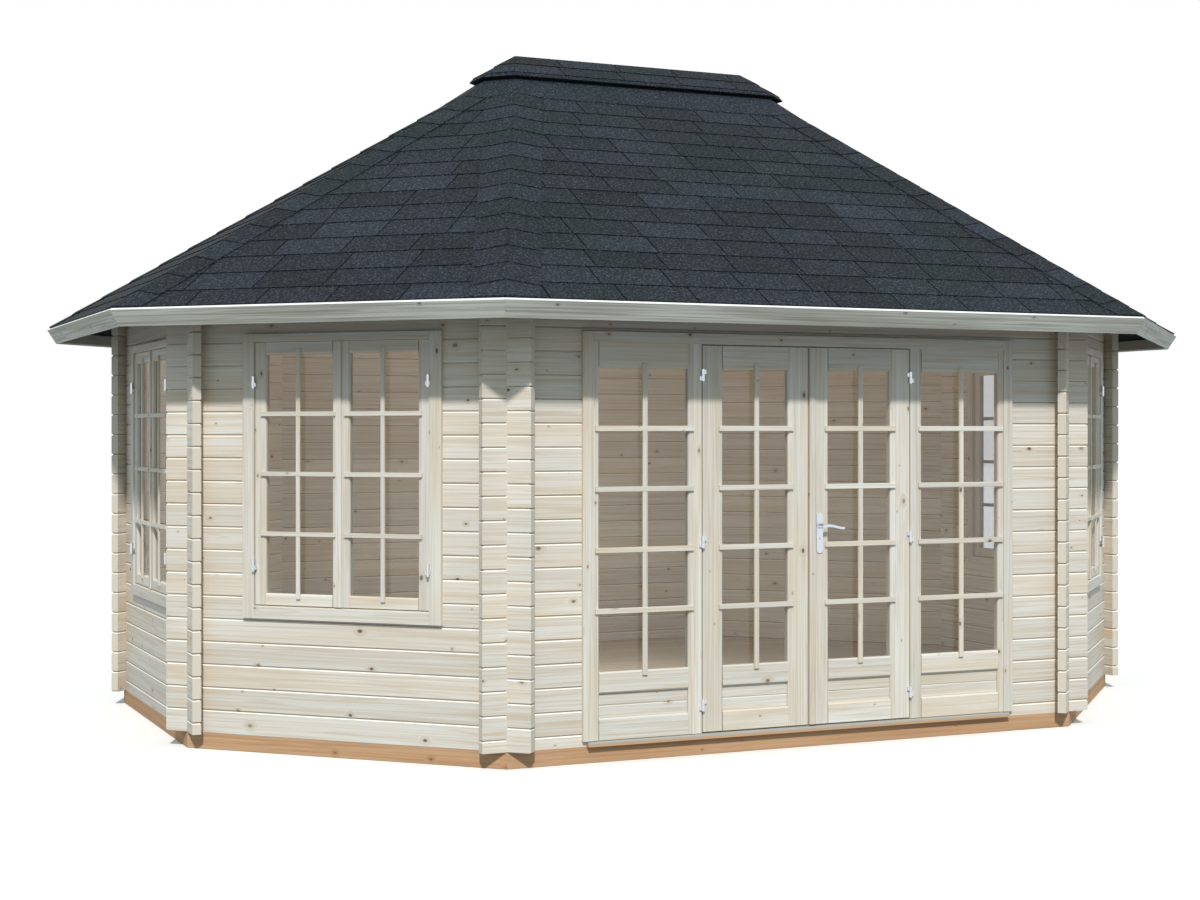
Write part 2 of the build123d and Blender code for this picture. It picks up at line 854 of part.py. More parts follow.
# Roof: eight boarded panels mitred at the hips
for name in walls:
    with BuildPart() as roof_panel:
        roof_sector(name, overhang + fascia_width)
        split(bisect_by=roof_plane(name, -cover_thickness), keep=Keep.BOTTOM)
        split(bisect_by=roof_plane(name, under_roof), keep=Keep.TOP)
        split(bisect_by=eave_plane(name, fascia_thickness), keep=Keep.BOTTOM)
    roof_panel.part.label = name + "_roof"
    export_step(roof_panel.part, "parts/" + name + "_roof.step")

# Fascia boards square to the slope, mitred at the hips
fascia_boards = {}
for name in walls:
    with BuildPart() as board:
        roof_sector(name, overhang + fascia_width)
        split(bisect_by=roof_plane(name, 0.0), keep=Keep.BOTTOM)
        split(bisect_by=roof_plane(name, -fascia_width), keep=Keep.TOP)
        split(bisect_by=eave_plane(name, 0.0), keep=Keep.BOTTOM)
        split(bisect_by=eave_plane(name, fascia_thickness), keep=Keep.TOP)
    fascia_boards[name] = board.part

with BuildPart() as square_fascia:
    add([fascia_boards[name] for name in square_walls])
square_fascia.part.label = "fascia_square"
export_step(square_fascia.part, "parts/fascia_square.step")

with BuildPart() as diagonal_fascia:
    add([fascia_boards[name] for name in diagonal_walls])
diagonal_fascia.part.label = "fascia_diagonal"
export_step(diagonal_fascia.part, "parts/fascia_diagonal.step")

# Ridge beam with a block at each end that the hip rafters meet
ridge_under = roof_apex + under_roof / math.cos(pitch)
with BuildPart() as ridge_beam:
    with BuildSketch(Plane.XY.offset(ridge_under - ridge_beam_depth)) as ridge_plan:
        Rectangle(stretch_length, ridge_beam_width)
        with Locations((-half_stretch, 0), (half_stretch, 0)):
            RegularPolygon(ridge_block_radius, len(walls))
    extrude(ridge_plan.sketch, amount=ridge_beam_depth)
    for name in walls:
        split(bisect_by=roof_plane(name, under_roof), keep=Keep.BOTTOM)
ridge_beam.part.label = "ridge_beam"
export_step(ridge_beam.part, "parts/ridge_beam.step")

# Hip rafters from the wall corners to the ridge blocks
rafter_drop = rafter_depth / math.cos(pitch)
rafter_start = ridge_block_radius * math.cos(math.radians(corner_turn / 2)) + hairline
rafter_fall = half_depth * math.tan(pitch)
rafter_parts = []
for name in walls:
    after = neighbour(name, 1)
    hip_end = corner(name, 1, 0.0)
    apex_x = math.copysign(half_stretch, hip_end[0])
    foot = Vector(hip_end[0] - apex_x, hip_end[1], 0)
    level = foot.normalized()
    slope = (foot - Vector(0, 0, rafter_fall)).normalized()
    across = Vector(-level.Y, level.X, 0)
    upright = slope.cross(across)
    if upright.Z < 0:
        upright = upright * -1
    under = Plane(Vector(apex_x, 0, ridge_under - rafter_drop), x_dir=across, z_dir=upright)
    with BuildPart() as rafter:
        with BuildSketch(Plane((apex_x, 0, 0), x_dir=level, z_dir=(0, 0, 1))) as strip_plan:
            with Locations(((rafter_start + foot.length) / 2, 0)):
                Rectangle(foot.length - rafter_start, rafter_width)
        extrude(strip_plan.sketch, amount=roof_ceiling)
        split(bisect_by=roof_plane(name, under_roof), keep=Keep.BOTTOM)
        split(bisect_by=roof_plane(after, under_roof), keep=Keep.BOTTOM)
        split(bisect_by=face_plane(name, log_thickness + hairline), keep=Keep.BOTTOM)
        split(bisect_by=face_plane(after, log_thickness + hairline), keep=Keep.BOTTOM)
        split(bisect_by=under, keep=Keep.TOP)
    rafter_parts.append(rafter.part)

with BuildPart() as rafters:
    add(rafter_parts)
rafters.part.label = "hip_rafters"
export_step(rafters.part, "parts/hip_rafters.step")

# Ridge cap: a small hipped plate on a core that stands on the roof
cap_under = cap_rise - board_thickness
with BuildPart() as cap_void:
    with BuildSketch(Plane.XY) as void_plan:
        with BuildLine():
            Polyline(*octagon(cap_reach), close=True)
        make_face()
        with BuildLine():
            Polyline(*octagon(cap_core_reach - half_depth), close=True)
        make_face(mode=Mode.SUBTRACT)
    extrude(void_plan.sketch, amount=2 * roof_ceiling)
    for name in walls:
        split(bisect_by=roof_plane(name, cap_under), keep=Keep.BOTTOM)

with BuildPart() as cap_seat:
    with BuildSketch(Plane.XY) as seat_plan:
        with BuildLine():
            Polyline(*octagon(cap_reach), close=True)
        make_face()
    extrude(seat_plan.sketch, amount=2 * roof_ceiling)
    for name in walls:
        split(bisect_by=roof_plane(name, -cover_thickness), keep=Keep.BOTTOM)

with BuildPart() as ridge_cap:
    with BuildSketch(Plane.XY.offset(eave_height)) as cap_plan:
        with BuildLine():
            Polyline(*octagon(cap_reach - half_depth), close=True)
        make_face()
    extrude(cap_plan.sketch, amount=roof_ceiling)
    for name in walls:
        split(bisect_by=roof_plane(name, cap_rise), keep=Keep.BOTTOM)
    add(cap_void.part, mode=Mode.SUBTRACT)
    add(cap_seat.part, mode=Mode.SUBTRACT)
ridge_cap.part.label = "ridge_cap"
export_step(ridge_cap.part, "parts/ridge_cap.step")
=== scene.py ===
"""Looks of the closed log cabin gazebo: timber, shingles, glass, bars, metal and stage."""

import json
import math
import random

import bmesh
import bpy
import numpy as np
from bpy.props import FloatProperty, FloatVectorProperty, IntProperty, PointerProperty
from bpy.types import NodeSocket, Operator, Panel, PropertyGroup
from mathutils import Matrix, Vector


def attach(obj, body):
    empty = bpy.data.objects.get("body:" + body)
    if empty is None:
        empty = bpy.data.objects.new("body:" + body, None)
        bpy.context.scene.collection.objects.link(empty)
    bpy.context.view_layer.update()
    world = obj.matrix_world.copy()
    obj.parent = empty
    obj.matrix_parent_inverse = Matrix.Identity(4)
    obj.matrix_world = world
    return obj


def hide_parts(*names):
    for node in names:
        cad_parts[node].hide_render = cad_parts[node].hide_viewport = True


bl_info = {
    "name": "Log Cabin Gazebo",
    "version": (1, 0, 0),
    "blender": (4, 5, 0),
    "location": "View3D > Sidebar > Gazebo",
    "description": "Dresses the eight-sided log cabin with timber, shingles, glass and metal",
    "category": "Object",
}

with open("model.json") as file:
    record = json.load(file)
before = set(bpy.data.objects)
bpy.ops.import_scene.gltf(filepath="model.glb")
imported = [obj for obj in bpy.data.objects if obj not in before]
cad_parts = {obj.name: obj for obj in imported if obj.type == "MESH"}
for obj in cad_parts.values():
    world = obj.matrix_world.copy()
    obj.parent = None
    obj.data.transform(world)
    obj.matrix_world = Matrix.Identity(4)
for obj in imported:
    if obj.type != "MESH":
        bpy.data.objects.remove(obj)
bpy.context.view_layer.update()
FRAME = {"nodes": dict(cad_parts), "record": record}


def linear(code):
    """Linear colour from a six-digit sRGB code."""
    out = []
    for at in (0, 2, 4):
        c = int(code[at:at + 2], 16) / 255
        out.append(c / 12.92 if c <= 0.04045 else ((c + 0.055) / 1.055) ** 2.4)
    return tuple(out)


def rgba(code):
    return (*linear(code), 1.0)


# Plan and roof of the cabin, in metres, as the solids have them
SIDE = 1.760
STRETCH = 1.500
HALF_DEPTH = SIDE / 2 + SIDE * math.sqrt(0.5)
HALF_STRETCH = STRETCH / 2
WALL_STEP = math.radians(45.0)
HALF_TURN = math.tan(WALL_STEP / 2)
COURSE = 0.115
BASE_TOP = 0.080
PITCH = math.radians(31.6)
OVERHANG = 0.415
EAVE = 2.188
APEX = EAVE + (HALF_DEPTH + OVERHANG) * math.tan(PITCH)
SLOPE = (HALF_DEPTH + OVERHANG) / math.cos(PITCH)
CAP_REACH = 0.228
CAP_RISE = 0.050

# Sheets of glass that carry bars: runs off the wall's middle, heights and outer faces
SIDE_LIGHT_RUN = (0.678, 1.1586)
DOOR_RUN = (0.1165, 0.488)
DOOR_GLASS = (0.435, 1.903)
LEAF_FACE = -0.014
CASEMENT_RUN = (0.0475, 0.419)
CASEMENT_GLASS = (0.793, 1.977)
CASEMENT_FACE = -0.010
PANE_COLUMNS = 2
CROSS_BAR_PROUD = 1.16
BAR_ROUND = 0.0018
BAR_PROFILE = 0.6
BAR_SEED = 90

# Roof covering: how it lies on the solids, and the cap's fold and collar
COVER_SINK = -0.005
HIP_LIFT = 0.004
HIP_ROW = 1.08
EAVE_SET = 0.019
TAB_GAP = 0.008
TAB_LAP = 1.3
TAB_LIFT = 1.1
TAB_PAST_HIP = 0.49
SPARE_TABS = 3.0
STRIP_LAP = 1.25
STRIP_LIFT = 1.6
ROW_SHIFT = 0.9
ROW_SEED, ROW_SEED_STEP = 3, 7
TONE_SEED = 5.0
HIP_SEED = 60
CAP_SEED, CAP_SEED_STEP = 200, 3
CAP_TONE_SEED = 5
CAP_ROWS = 2
CAP_FOLD_OUT = 0.018
CAP_FOLD_DOWN = 0.020
CAP_SKIN = 0.005
COLLAR_TOP = 0.200
COLLAR_FOOT = 0.420
COLLAR_RISE = 0.026
COLLAR_EDGE = 0.010

# Noises are given as scale, detail, roughness and distortion, ramps as pairs of place and value,
# and lines as factor and base

# Planed softwood: places are scaled along and across the grain
KNOT_CELLS = (4.2, 6.5)
KNOT_SKIPPED = 0.52
KNOT_SIZE = (0.062, 0.020)
KNOT_CORE = ((0.45, 1.0), (0.95, 0.0))
KNOT_DEPTH = (0.4, 0.5)
HALO_SPREAD = 0.35
HALO_RAMP = ((0.25, 1.0), (1.0, 0.0))
HALO_SHARE = 0.45
HALO_KNOT = 0.22
HALO_PUSH = 0.05
GROWTH_SCALE = (1.1, 95.0, 95.0)
GROWTH_NOISE = (1.0, 3.0, 0.55, 0.4)
GROWTH_RAMP = ((0.44, 0.0), (0.64, 1.0))
GROWTH_SHARE = 0.65
GROWTH_HEIGHT = 0.5
FIBRE_SCALE = (9.0, 420.0, 420.0)
FIBRE_NOISE = (1.0, 2.0, 0.6)
FIBRE_LEVEL = (0.10, 0.95)
SLOW_SCALE = (0.7, 6.0, 6.0)
SLOW_NOISE = (1.0, 2.0, 0.5)
SLOW_RAMP = ((0.38, 0.0), (0.72, 1.0))
SLOW_SHARE = (0.7, 0.10)
FLAME_SCALE = (0.55, 26.0, 26.0)
FLAME_NOISE = (1.0, 2.0, 0.5, 1.1)
FLAME_RAMP = ((0.47, 0.0), (0.52, 1.0), (0.58, 0.0))
FLAME_SHARE = 0.30
TONE_LEVEL = (0.15, 0.91)
TIMBER_ROUGH = 0.62
TIMBER_GLOSS = 0.25
TIMBER_BUMP = (0.12, 0.002)
JOINERY_ROUGH = 0.6
BEAM_ROUGH = 0.75
ROOF_TIMBER_ROUGH = 0.7
JOINERY_SEED, EAVE_SEED, ROOF_TIMBER_SEED, BASE_SEED = 11, 31, 41, 61

# Logs, boards and threshold
LOG_SEED = 37.0
LOG_SLIDE = 23.0
RING_PLACE = (0.8, 0.1)
RING_WRAP = 0.09
RING_LINES = 1500.0
RING_SHARE = (0.20, 0.30)
END_FACING = 0.8
SEAM_BAND = 0.02
# Seam between logs: a dark joint widened upwards by painted shade; arris: a painted highlight on
# the lower log's top edge
SEAM_SHADE_RAMP = ((0.45, 0.0), (0.48, 0.66), (0.58, 0.55), (0.72, 0.0))
ARRIS_HIGHLIGHT_RAMP = ((0.14, 0.0), (0.19, 0.75), (0.41, 0.75), (0.45, 0.0))
BOARD_WIDTH = 0.096
BOARD_SLIDE = 19.0
BOARD_JOINT_FROM = 0.475
# Faces that point up at least this much get the eave boards' painted highlight
HIGHLIGHT_FACING = 0.5
STRIP_LOW = 0.093
STRIP_SCALE = (3.0, 60.0, 60.0)
STRIP_NOISE = (1.0, 4.0, 0.6)
STRIP_ROUGH = 0.5
STRIP_DIM, SILL_WOOD_DIM = 0.85, 0.75

# Shingles, glass and metal
GRIT_NOISE = (84.0, 3.0, 0.8)
BLOTCH_NOISE = (3.4, 3.0, 0.6)
TINT_NOISE = (1.1, 3.0, 0.5)
TAB_SHARE, BLOTCH_SHARE = 0.85, 0.45
GREEN_RAMP, GREEN_SHARE = ((0.42, 0.0), (0.60, 1.0)), 0.6
VIOLET_RAMP, VIOLET_SHARE = ((0.52, 0.0), (0.68, 1.0)), 0.5
PIT_RAMP, PIT_SHARE = ((0.38, 1.0), (0.50, 0.0)), 0.75
FLECK_RAMP, FLECK_SHARE = ((0.52, 0.0), (0.66, 1.0)), 0.65
TAB_LEVEL = (0.26, 0.85)
SHINGLE_ROUGH = 0.92
SHINGLE_GLOSS = 0.2
SHINGLE_BUMP = (0.6, 0.003)
PANE_ALPHA = 0.18
PANE_IOR = 2.4
SMEAR_NOISE = (3.0, 3.0, 0.5)
SMEAR_ROUGH = 0.03
METAL_NOISE = (60.0, 4.0, 0.6)
METAL_ROUGH = (0.14, 0.18)
METAL_DIM = 0.92

# Stage
SUN_POWER = 2.92
SUN_SPREAD = math.radians(3.0)
SUN_COLOUR = (1.0, 0.98, 0.96)
SUN_HEIGHT = math.radians(43.7)
SUN_SIDE = math.radians(22.5)
SKY_COLOUR = (0.72, 0.91, 1.0, 1.0)
SKY_POWER = 0.65
FLOOR_SIZE = 60.0
FLOOR_DROP = 0.001
FLOOR_ROUGH = 0.9
FLOOR_BOUNCE = (0.20, 0.20, 0.19, 1.0)
FLOOR_SEEN = (0.98, 0.94, 0.91, 1.0)
ROOM_POWER = 48.0
ROOM_SOFTNESS = 0.5
ROOM_COLOUR = (1.0, 0.96, 0.90)
ROOM_PLACE = (0.0, 0.0, 1.05)
CAMERA_SENSOR = 36.0
CAMERA_LENS = 57.54
CAMERA_SHIFT = -0.016
CAMERA_FAR = 300.0
CAMERA_PLACE = (-4.9165, -10.5656, 1.5976)
CAMERA_TURN = (math.radians(90.0), 0.0, -0.4198)

# Meshes
MERGE = 1e-6
FLAT_ANGLE = math.radians(0.5)
EDGE_ANGLE = math.radians(30)
EDGE_SEGMENTS = 2
GRAIN_SHIFT = (40, 9, 9)

WALLS = ("front", "front_right", "right", "back_right", "back", "back_left", "left", "front_left")
SQUARE_WALLS = ("front", "right", "back", "left")
LONG_WALLS = ("front", "back")
WINDOW_WALLS = ("left", "front_left", "front_right", "right")
UP = Vector((0.0, 0.0, 1.0))


def wall_turn(wall):
    """Turn of a wall about the vertical, from the front."""
    return WALL_STEP * WALLS.index(wall)


def wall_along(wall):
    turn = wall_turn(wall)
    return Vector((math.cos(turn), math.sin(turn), 0.0))


def wall_outward(wall):
    turn = wall_turn(wall)
    return Vector((math.sin(turn), -math.cos(turn), 0.0))


def ridge_half(wall):
    """Half of the ridge that a wall's slope runs up to."""
    return HALF_STRETCH if wall in LONG_WALLS else 0.0


def wall_half(wall):
    return SIDE / 2 + ridge_half(wall)


def wall_middle(wall):
    """Middle of a wall's outer face, at ground level."""
    shift = 0.0
    if wall not in LONG_WALLS:
        shift = math.copysign(HALF_STRETCH, wall_outward(wall).x)
    return wall_outward(wall) * HALF_DEPTH + Vector((shift, 0.0, 0.0))


def wall_matrix(wall):
    """From run, depth inwards and height at a wall to the cabin's frame."""
    return Matrix.Translation(wall_middle(wall)) @ Matrix.Rotation(wall_turn(wall), 4, "Z")


# Sizes and colours that a user would change


def length(name, description, default, low, high):
    return FloatProperty(name=name, description=description, default=default, min=low, max=high,
                         unit="LENGTH")


def rows(name, description, default):
    return IntProperty(name=name, description=description, default=default, min=1, max=9)


def finish(name, description, code):
    return FloatVectorProperty(name=name, description=description, subtype="COLOR", size=3,
                               default=linear(code))


class GazeboSizes(PropertyGroup):
    """Sizes of what is laid on the solids."""

    bar_width: length("Bar width", "Width of a glazing bar on the door unit", 0.026, 0.01, 0.06)
    window_bar_width: length(
        "Window bar width", "Width of a glazing bar on a casement", 0.022, 0.01, 0.06)
    bar_depth: length(
        "Bar depth", "How far a glazing bar stands proud of its leaf", 0.010, 0.004, 0.03)
    bar_lap: length(
        "Bar lap", "How far a bar laps the stile or rail at each end", 0.024, 0.0, 0.05)
    door_rows: rows("Door rows", "Rows of panes in a door leaf or side light", 5)
    window_rows: rows("Window rows", "Rows of panes in a casement", 4)
    row_height: length("Shingle row", "Height of a shingle row that shows", 0.178, 0.08, 0.3)
    tab_width: length("Shingle tab", "Width of one shingle tab", 0.38, 0.1, 1.0)
    shingle_thickness: length("Shingle thickness", "Thickness of a shingle", 0.005, 0.002, 0.01)
    hip_wing: length("Hip wing", "Width of a hip strip on each side of the hip", 0.165, 0.05, 0.3)
    edge_round: length(
        "Edge round", "Width of the broken edge on planed timber", 0.0016, 0.0, 0.01)


class GazeboColours(PropertyGroup):
    """Colours of the finishes."""

    log: finish("Log", "Planed log", "E0DBD2")
    joinery: finish("Joinery", "Planed frames and doors", "DEDBD3")
    streak: finish("Grain", "Warm grain streaks", "D1BFA6")
    knot: finish("Knot", "Knots", "523826")
    # The eave boards' cool grey is painted shade on planed timber
    fascia: finish("Fascia", "Eave boards", "DCDDD5")
    base: finish("Ground beam", "Brown treated beams", "CDA681")
    deck: finish("Deck", "Floor boards", "D8CFC0")
    shingle_dark: finish("Shingle dark", "Darker shingles", "12181B")
    shingle_light: finish("Shingle light", "Lighter shingles", "242932")
    steel: finish("Bright metal", "Hinges and handle", "D8DCE3")
    sill: finish("Threshold", "Threshold strip", "B5B2AA")


WHITE = (1.0, 1.0, 1.0, 1.0)
RING_COLOUR = rgba("C4AA85")
# Painted highlight on the logs' broken edges, and a dark joint colour that also paints shade in
# the seam
ARRIS_HIGHLIGHT_COLOUR = rgba("FDF6EA")
SEAM_SHADE_COLOUR = rgba("5A3D25")
# Eave boards: a grey streak that paints shade into the grain, and a painted highlight for their
# top faces
EAVE_SHADED_STREAK = rgba("959183")
EAVE_TOP_HIGHLIGHT = rgba("F2F0EA")
BEAM_STREAK = rgba("B88A64")
JOINT_COLOUR = rgba("5A4A38")
# Dark felt on the roof panels, also used as painted shade under the eaves
FELT_AND_SHADE_COLOUR = rgba("14181B")
SHINGLE_GREEN = rgba("152221")
SHINGLE_VIOLET = rgba("21212E")
SHINGLE_PIT = rgba("0D1114")
SHINGLE_FLECK = rgba("565D63")
PANE_COLOURS = (rgba("202A28"), rgba("2A3432"))


def sizes():
    return bpy.context.scene.gazebo_sizes


def tint(name):
    """A finish as the shaders take it."""
    return (*getattr(bpy.context.scene.gazebo_colours, name), 1.0)


def dimmed(colour, share):
    return (*(share * c for c in colour[:3]), 1.0)


class Wires:
    """Short ways to add nodes to one tree; they take sockets or plain values."""

    def __init__(self, tree):
        self.tree = tree

    def feed(self, node, inputs):
        """Link or set inputs, by socket name or number."""
        for slot, value in inputs.items():
            if isinstance(value, NodeSocket):
                self.tree.links.new(value, node.inputs[slot])
            else:
                node.inputs[slot].default_value = value
        return node

    def put(self, kind, inputs=None, **settings):
        made = self.tree.nodes.new(kind)
        for key, value in settings.items():
            setattr(made, key, value)
        return self.feed(made, inputs or {})

    def math(self, operation, *values):
        made = self.put("ShaderNodeMath", dict(enumerate(values)), operation=operation)
        return made.outputs[0]

    def add(self, first, second):
        return self.math("ADD", first, second)

    def less(self, first, second):
        return self.math("SUBTRACT", first, second)

    def times(self, first, second):
        return self.math("MULTIPLY", first, second)

    def over(self, first, second):
        return self.math("DIVIDE", first, second)

    def line(self, value, factor, base):
        return self.math("MULTIPLY_ADD", value, factor, base)

    def past(self, value, limit):
        return self.math("GREATER_THAN", value, limit)

    def vector(self, x=0.0, y=0.0, z=0.0):
        return self.put("ShaderNodeCombineXYZ", {0: x, 1: y, 2: z}).outputs[0]

    def split(self, vector):
        return tuple(self.put("ShaderNodeSeparateXYZ", {0: vector}).outputs)

    def grey(self, level):
        return self.put("ShaderNodeCombineColor", dict.fromkeys(range(3), level)).outputs[0]

    def mix(self, factor, first, second, blend="MIX"):
        made = self.put("ShaderNodeMix", {0: factor, 6: first, 7: second},
                        data_type="RGBA", blend_type=blend)
        return made.outputs[2]

    def ramp(self, factor, stops, smooth=True):
        """Grey ramp from pairs of place and value."""
        made = self.put("ShaderNodeValToRGB", {0: factor})
        made.color_ramp.interpolation = "EASE" if smooth else "LINEAR"
        cells = made.color_ramp.elements
        while len(cells) < len(stops):
            cells.new(0.5)
        for cell, (place, value) in zip(cells, stops):
            cell.position = place
            cell.color = (value, value, value, 1.0)
        return made.outputs[0]

    def noise(self, vector, scale, detail, rough, distort=0.0):
        return self.put("ShaderNodeTexNoise", {
            "Vector": vector, "Scale": scale, "Detail": detail, "Roughness": rough,
            "Distortion": distort}).outputs[0]

    def scaled(self, vector, factors):
        return self.put("ShaderNodeMapping", {"Vector": vector, "Scale": factors}).outputs[0]

    def chance(self, number):
        """Fixed chance value for a whole number."""
        return self.put("ShaderNodeTexWhiteNoise", {"W": number},
                        noise_dimensions="1D").outputs["Value"]

    def place(self):
        return self.put("ShaderNodeTexCoord").outputs["Object"]

    def wall_place(self, wall):
        """Place with X along a wall and Y inwards."""
        return self.put("ShaderNodeVectorRotate", {
            "Vector": self.place(), "Angle": -wall_turn(wall)}, rotation_type="Z_AXIS").outputs[0]

    def normal(self):
        return self.put("ShaderNodeNewGeometry").outputs["Normal"]

    def kept(self, name, kind="Fac"):
        """Attribute that the piece carries."""
        return self.put("ShaderNodeAttribute", attribute_name=name).outputs[kind]

    def bump(self, shader, height, strength, distance):
        made = self.put("ShaderNodeBump", {
            "Strength": strength, "Distance": distance, "Height": height})
        self.feed(shader, {"Normal": made.outputs[0]})

    def seen_ray(self):
        """One for rays that show the backdrop: straight, mirrored or through glass."""
        path = self.put("ShaderNodeLightPath").outputs
        return self.math("MAXIMUM", path["Is Camera Ray"], self.math(
            "MAXIMUM", path["Is Glossy Ray"], path["Is Transmission Ray"]))


# Materials


def fresh_material(name):
    """Material with only its Principled shader and output."""
    made = bpy.data.materials.new(name)
    made.use_nodes = True
    shader = next(n for n in made.node_tree.nodes if n.type == "BSDF_PRINCIPLED")
    return made, Wires(made.node_tree), shader


def timber_group():
    """Planed softwood: grain coordinates and a tone in, colour and height out."""
    group = bpy.data.node_groups.get("planed_softwood")
    if group:
        return group
    group = bpy.data.node_groups.new("planed_softwood", "ShaderNodeTree")
    sockets = (("Grain", "Vector"), ("Tone", "Float"), ("Wood", "Color"), ("Streak", "Color"),
               ("Knot", "Color"))
    for label, kind in sockets:
        group.interface.new_socket(label, in_out="INPUT", socket_type="NodeSocket" + kind)
    for label, kind in (("Color", "Color"), ("Height", "Float")):
        group.interface.new_socket(label, in_out="OUTPUT", socket_type="NodeSocket" + kind)
    w = Wires(group)
    start = w.put("NodeGroupInput").outputs
    grain, tone, wood, streak, knot = (start[label] for label, kind in sockets)
    # Knots: round spots in a share of the cells, which bend the grain round them
    along, across, deep = w.split(grain)
    flat = w.vector(w.times(along, KNOT_CELLS[0]), w.times(w.add(across, deep), KNOT_CELLS[1]))
    cells = w.put("ShaderNodeTexVoronoi", {"Vector": flat, "Scale": 1.0},
                  feature="F1", voronoi_dimensions="2D").outputs
    dice = w.put("ShaderNodeSeparateColor", {0: cells["Color"]}).outputs
    knotty = w.past(dice[0], KNOT_SKIPPED)
    spread = w.over(cells["Distance"], w.line(w.math("POWER", dice[1], 2.0), *KNOT_SIZE))
    core = w.times(w.ramp(spread, KNOT_CORE), knotty)
    halo = w.times(w.ramp(w.times(spread, HALO_SPREAD), HALO_RAMP), knotty)
    push = w.times(halo, HALO_PUSH)
    bent = w.put("ShaderNodeVectorMath", {0: grain, 1: w.vector(0.0, push, push)},
                 operation="ADD").outputs[0]
    # Growth lines, fine fibres, slow changes of tone and flames
    lines = w.noise(w.scaled(bent, GROWTH_SCALE), *GROWTH_NOISE)
    fibres = w.noise(w.scaled(bent, FIBRE_SCALE), *FIBRE_NOISE)
    slow = w.noise(w.scaled(grain, SLOW_SCALE), *SLOW_NOISE)
    flame = w.noise(w.scaled(bent, FLAME_SCALE), *FLAME_NOISE)
    warm = w.times(w.ramp(lines, GROWTH_RAMP), GROWTH_SHARE)
    dark = w.times(w.ramp(flame, FLAME_RAMP), FLAME_SHARE)
    wide = w.times(w.ramp(slow, SLOW_RAMP), w.line(tone, *SLOW_SHARE))
    deeper = w.mix(HALO_KNOT, streak, knot)
    colour = w.mix(warm, wood, streak)
    colour = w.mix(wide, colour, streak)
    colour = w.mix(dark, colour, deeper)
    colour = w.mix(w.times(halo, HALO_SHARE), colour, deeper)
    colour = w.mix(w.times(core, w.line(dice[2], *KNOT_DEPTH)), colour, knot)
    level = w.times(w.line(tone, *TONE_LEVEL), w.line(fibres, *FIBRE_LEVEL))
    colour = w.mix(1.0, colour, w.grey(level), "MULTIPLY")
    w.put("NodeGroupOutput", {"Color": colour, "Height": w.line(lines, GROWTH_HEIGHT, fibres)})
    return group


def timber_shader(w, shader, grain, tone, wood, rough=TIMBER_ROUGH, streak=None):
    """Softwood group wired into a shader; returns its colour socket."""
    group = w.put("ShaderNodeGroup", {
        "Grain": grain, "Tone": tone, "Wood": wood, "Streak": streak or tint("streak"),
        "Knot": tint("knot")}, node_tree=timber_group()).outputs
    w.bump(shader, group["Height"], *TIMBER_BUMP)
    w.feed(shader, {"Base Color": group["Color"], "Roughness": rough,
                    "Specular IOR Level": TIMBER_GLOSS})
    return group["Color"]


def log_material(wall):
    """Log wall: grain along the wall, a tone for each log, rings on the log ends."""
    made, w, shader = fresh_material("log_" + wall)
    along, across, up = w.split(w.wall_place(wall))
    start = BASE_TOP - (COURSE / 2 if wall in SQUARE_WALLS else COURSE)
    count = w.over(w.less(up, start), COURSE)
    number = w.math("FLOOR", count)
    inside = w.less(count, number)
    tone = w.chance(w.add(number, LOG_SEED * (1 + WALLS.index(wall))))
    slide = w.times(tone, LOG_SLIDE)
    grain = w.vector(w.add(along, slide), w.add(across, slide), w.add(up, slide))
    body = timber_shader(w, shader, grain, tone, tint("log"))
    # Log ends show their rings
    tall = w.times(w.less(inside, w.line(tone, *RING_PLACE)), COURSE)
    wide = w.math("MODULO", across, RING_WRAP)
    away = w.math("SQRT", w.add(w.times(tall, tall), w.times(wide, wide)))
    rings = w.math("SINE", w.times(away, RING_LINES))
    cut = w.mix(w.line(rings, *RING_SHARE), tint("log"), RING_COLOUR)
    facing = w.put("ShaderNodeVectorMath", {0: w.normal(), 1: wall_along(wall)},
                   operation="DOT_PRODUCT").outputs["Value"]
    colour = w.mix(w.past(w.math("ABSOLUTE", facing), END_FACING), body, cut)
    # A pale broken edge, which is a painted highlight on the top edge of the lower log, and a dark
    # seam between two logs, which is a dark joint widened by painted shade
    gap = w.line(w.less(inside, w.past(inside, 0.5)), COURSE / SEAM_BAND, 0.5)
    seam_and_shade = w.ramp(gap, SEAM_SHADE_RAMP, smooth=False)
    edge = w.ramp(gap, ARRIS_HIGHLIGHT_RAMP, smooth=False)
    colour = w.mix(seam_and_shade, w.mix(edge, colour, ARRIS_HIGHLIGHT_COLOUR), SEAM_SHADE_COLOUR)
    w.feed(shader, {"Base Color": colour})
    return made


def member_material(name, wood, rough, streak=None, top=None):
    """Planed members, with the grain and tone kept on each one, and perhaps a painted highlight
    that makes the top faces paler.
    """
    made, w, shader = fresh_material(name)
    body = timber_shader(w, shader, w.kept("grain", "Vector"), w.kept("tone"), wood, rough, streak)
    if top:
        # Faces that point up get the painted highlight colour
        highlit_top = w.past(w.split(w.normal())[2], HIGHLIGHT_FACING)
        w.feed(shader, {"Base Color": w.mix(highlit_top, body, top)})
    return made


def board_colour(w, shader, vector, width, wood):
    """Boards along the first axis with a dark joint between them; returns the colour."""
    along, across, up = w.split(vector)
    count = w.over(across, width)
    number = w.math("FLOOR", count)
    tone = w.chance(number)
    slide = w.times(tone, BOARD_SLIDE)
    grain = w.vector(w.add(along, slide), w.add(across, slide), up)
    body = timber_shader(w, shader, grain, tone, wood)
    off = w.math("ABSOLUTE", w.less(w.less(count, number), 0.5))
    return w.mix(w.past(off, BOARD_JOINT_FROM), body, JOINT_COLOUR)


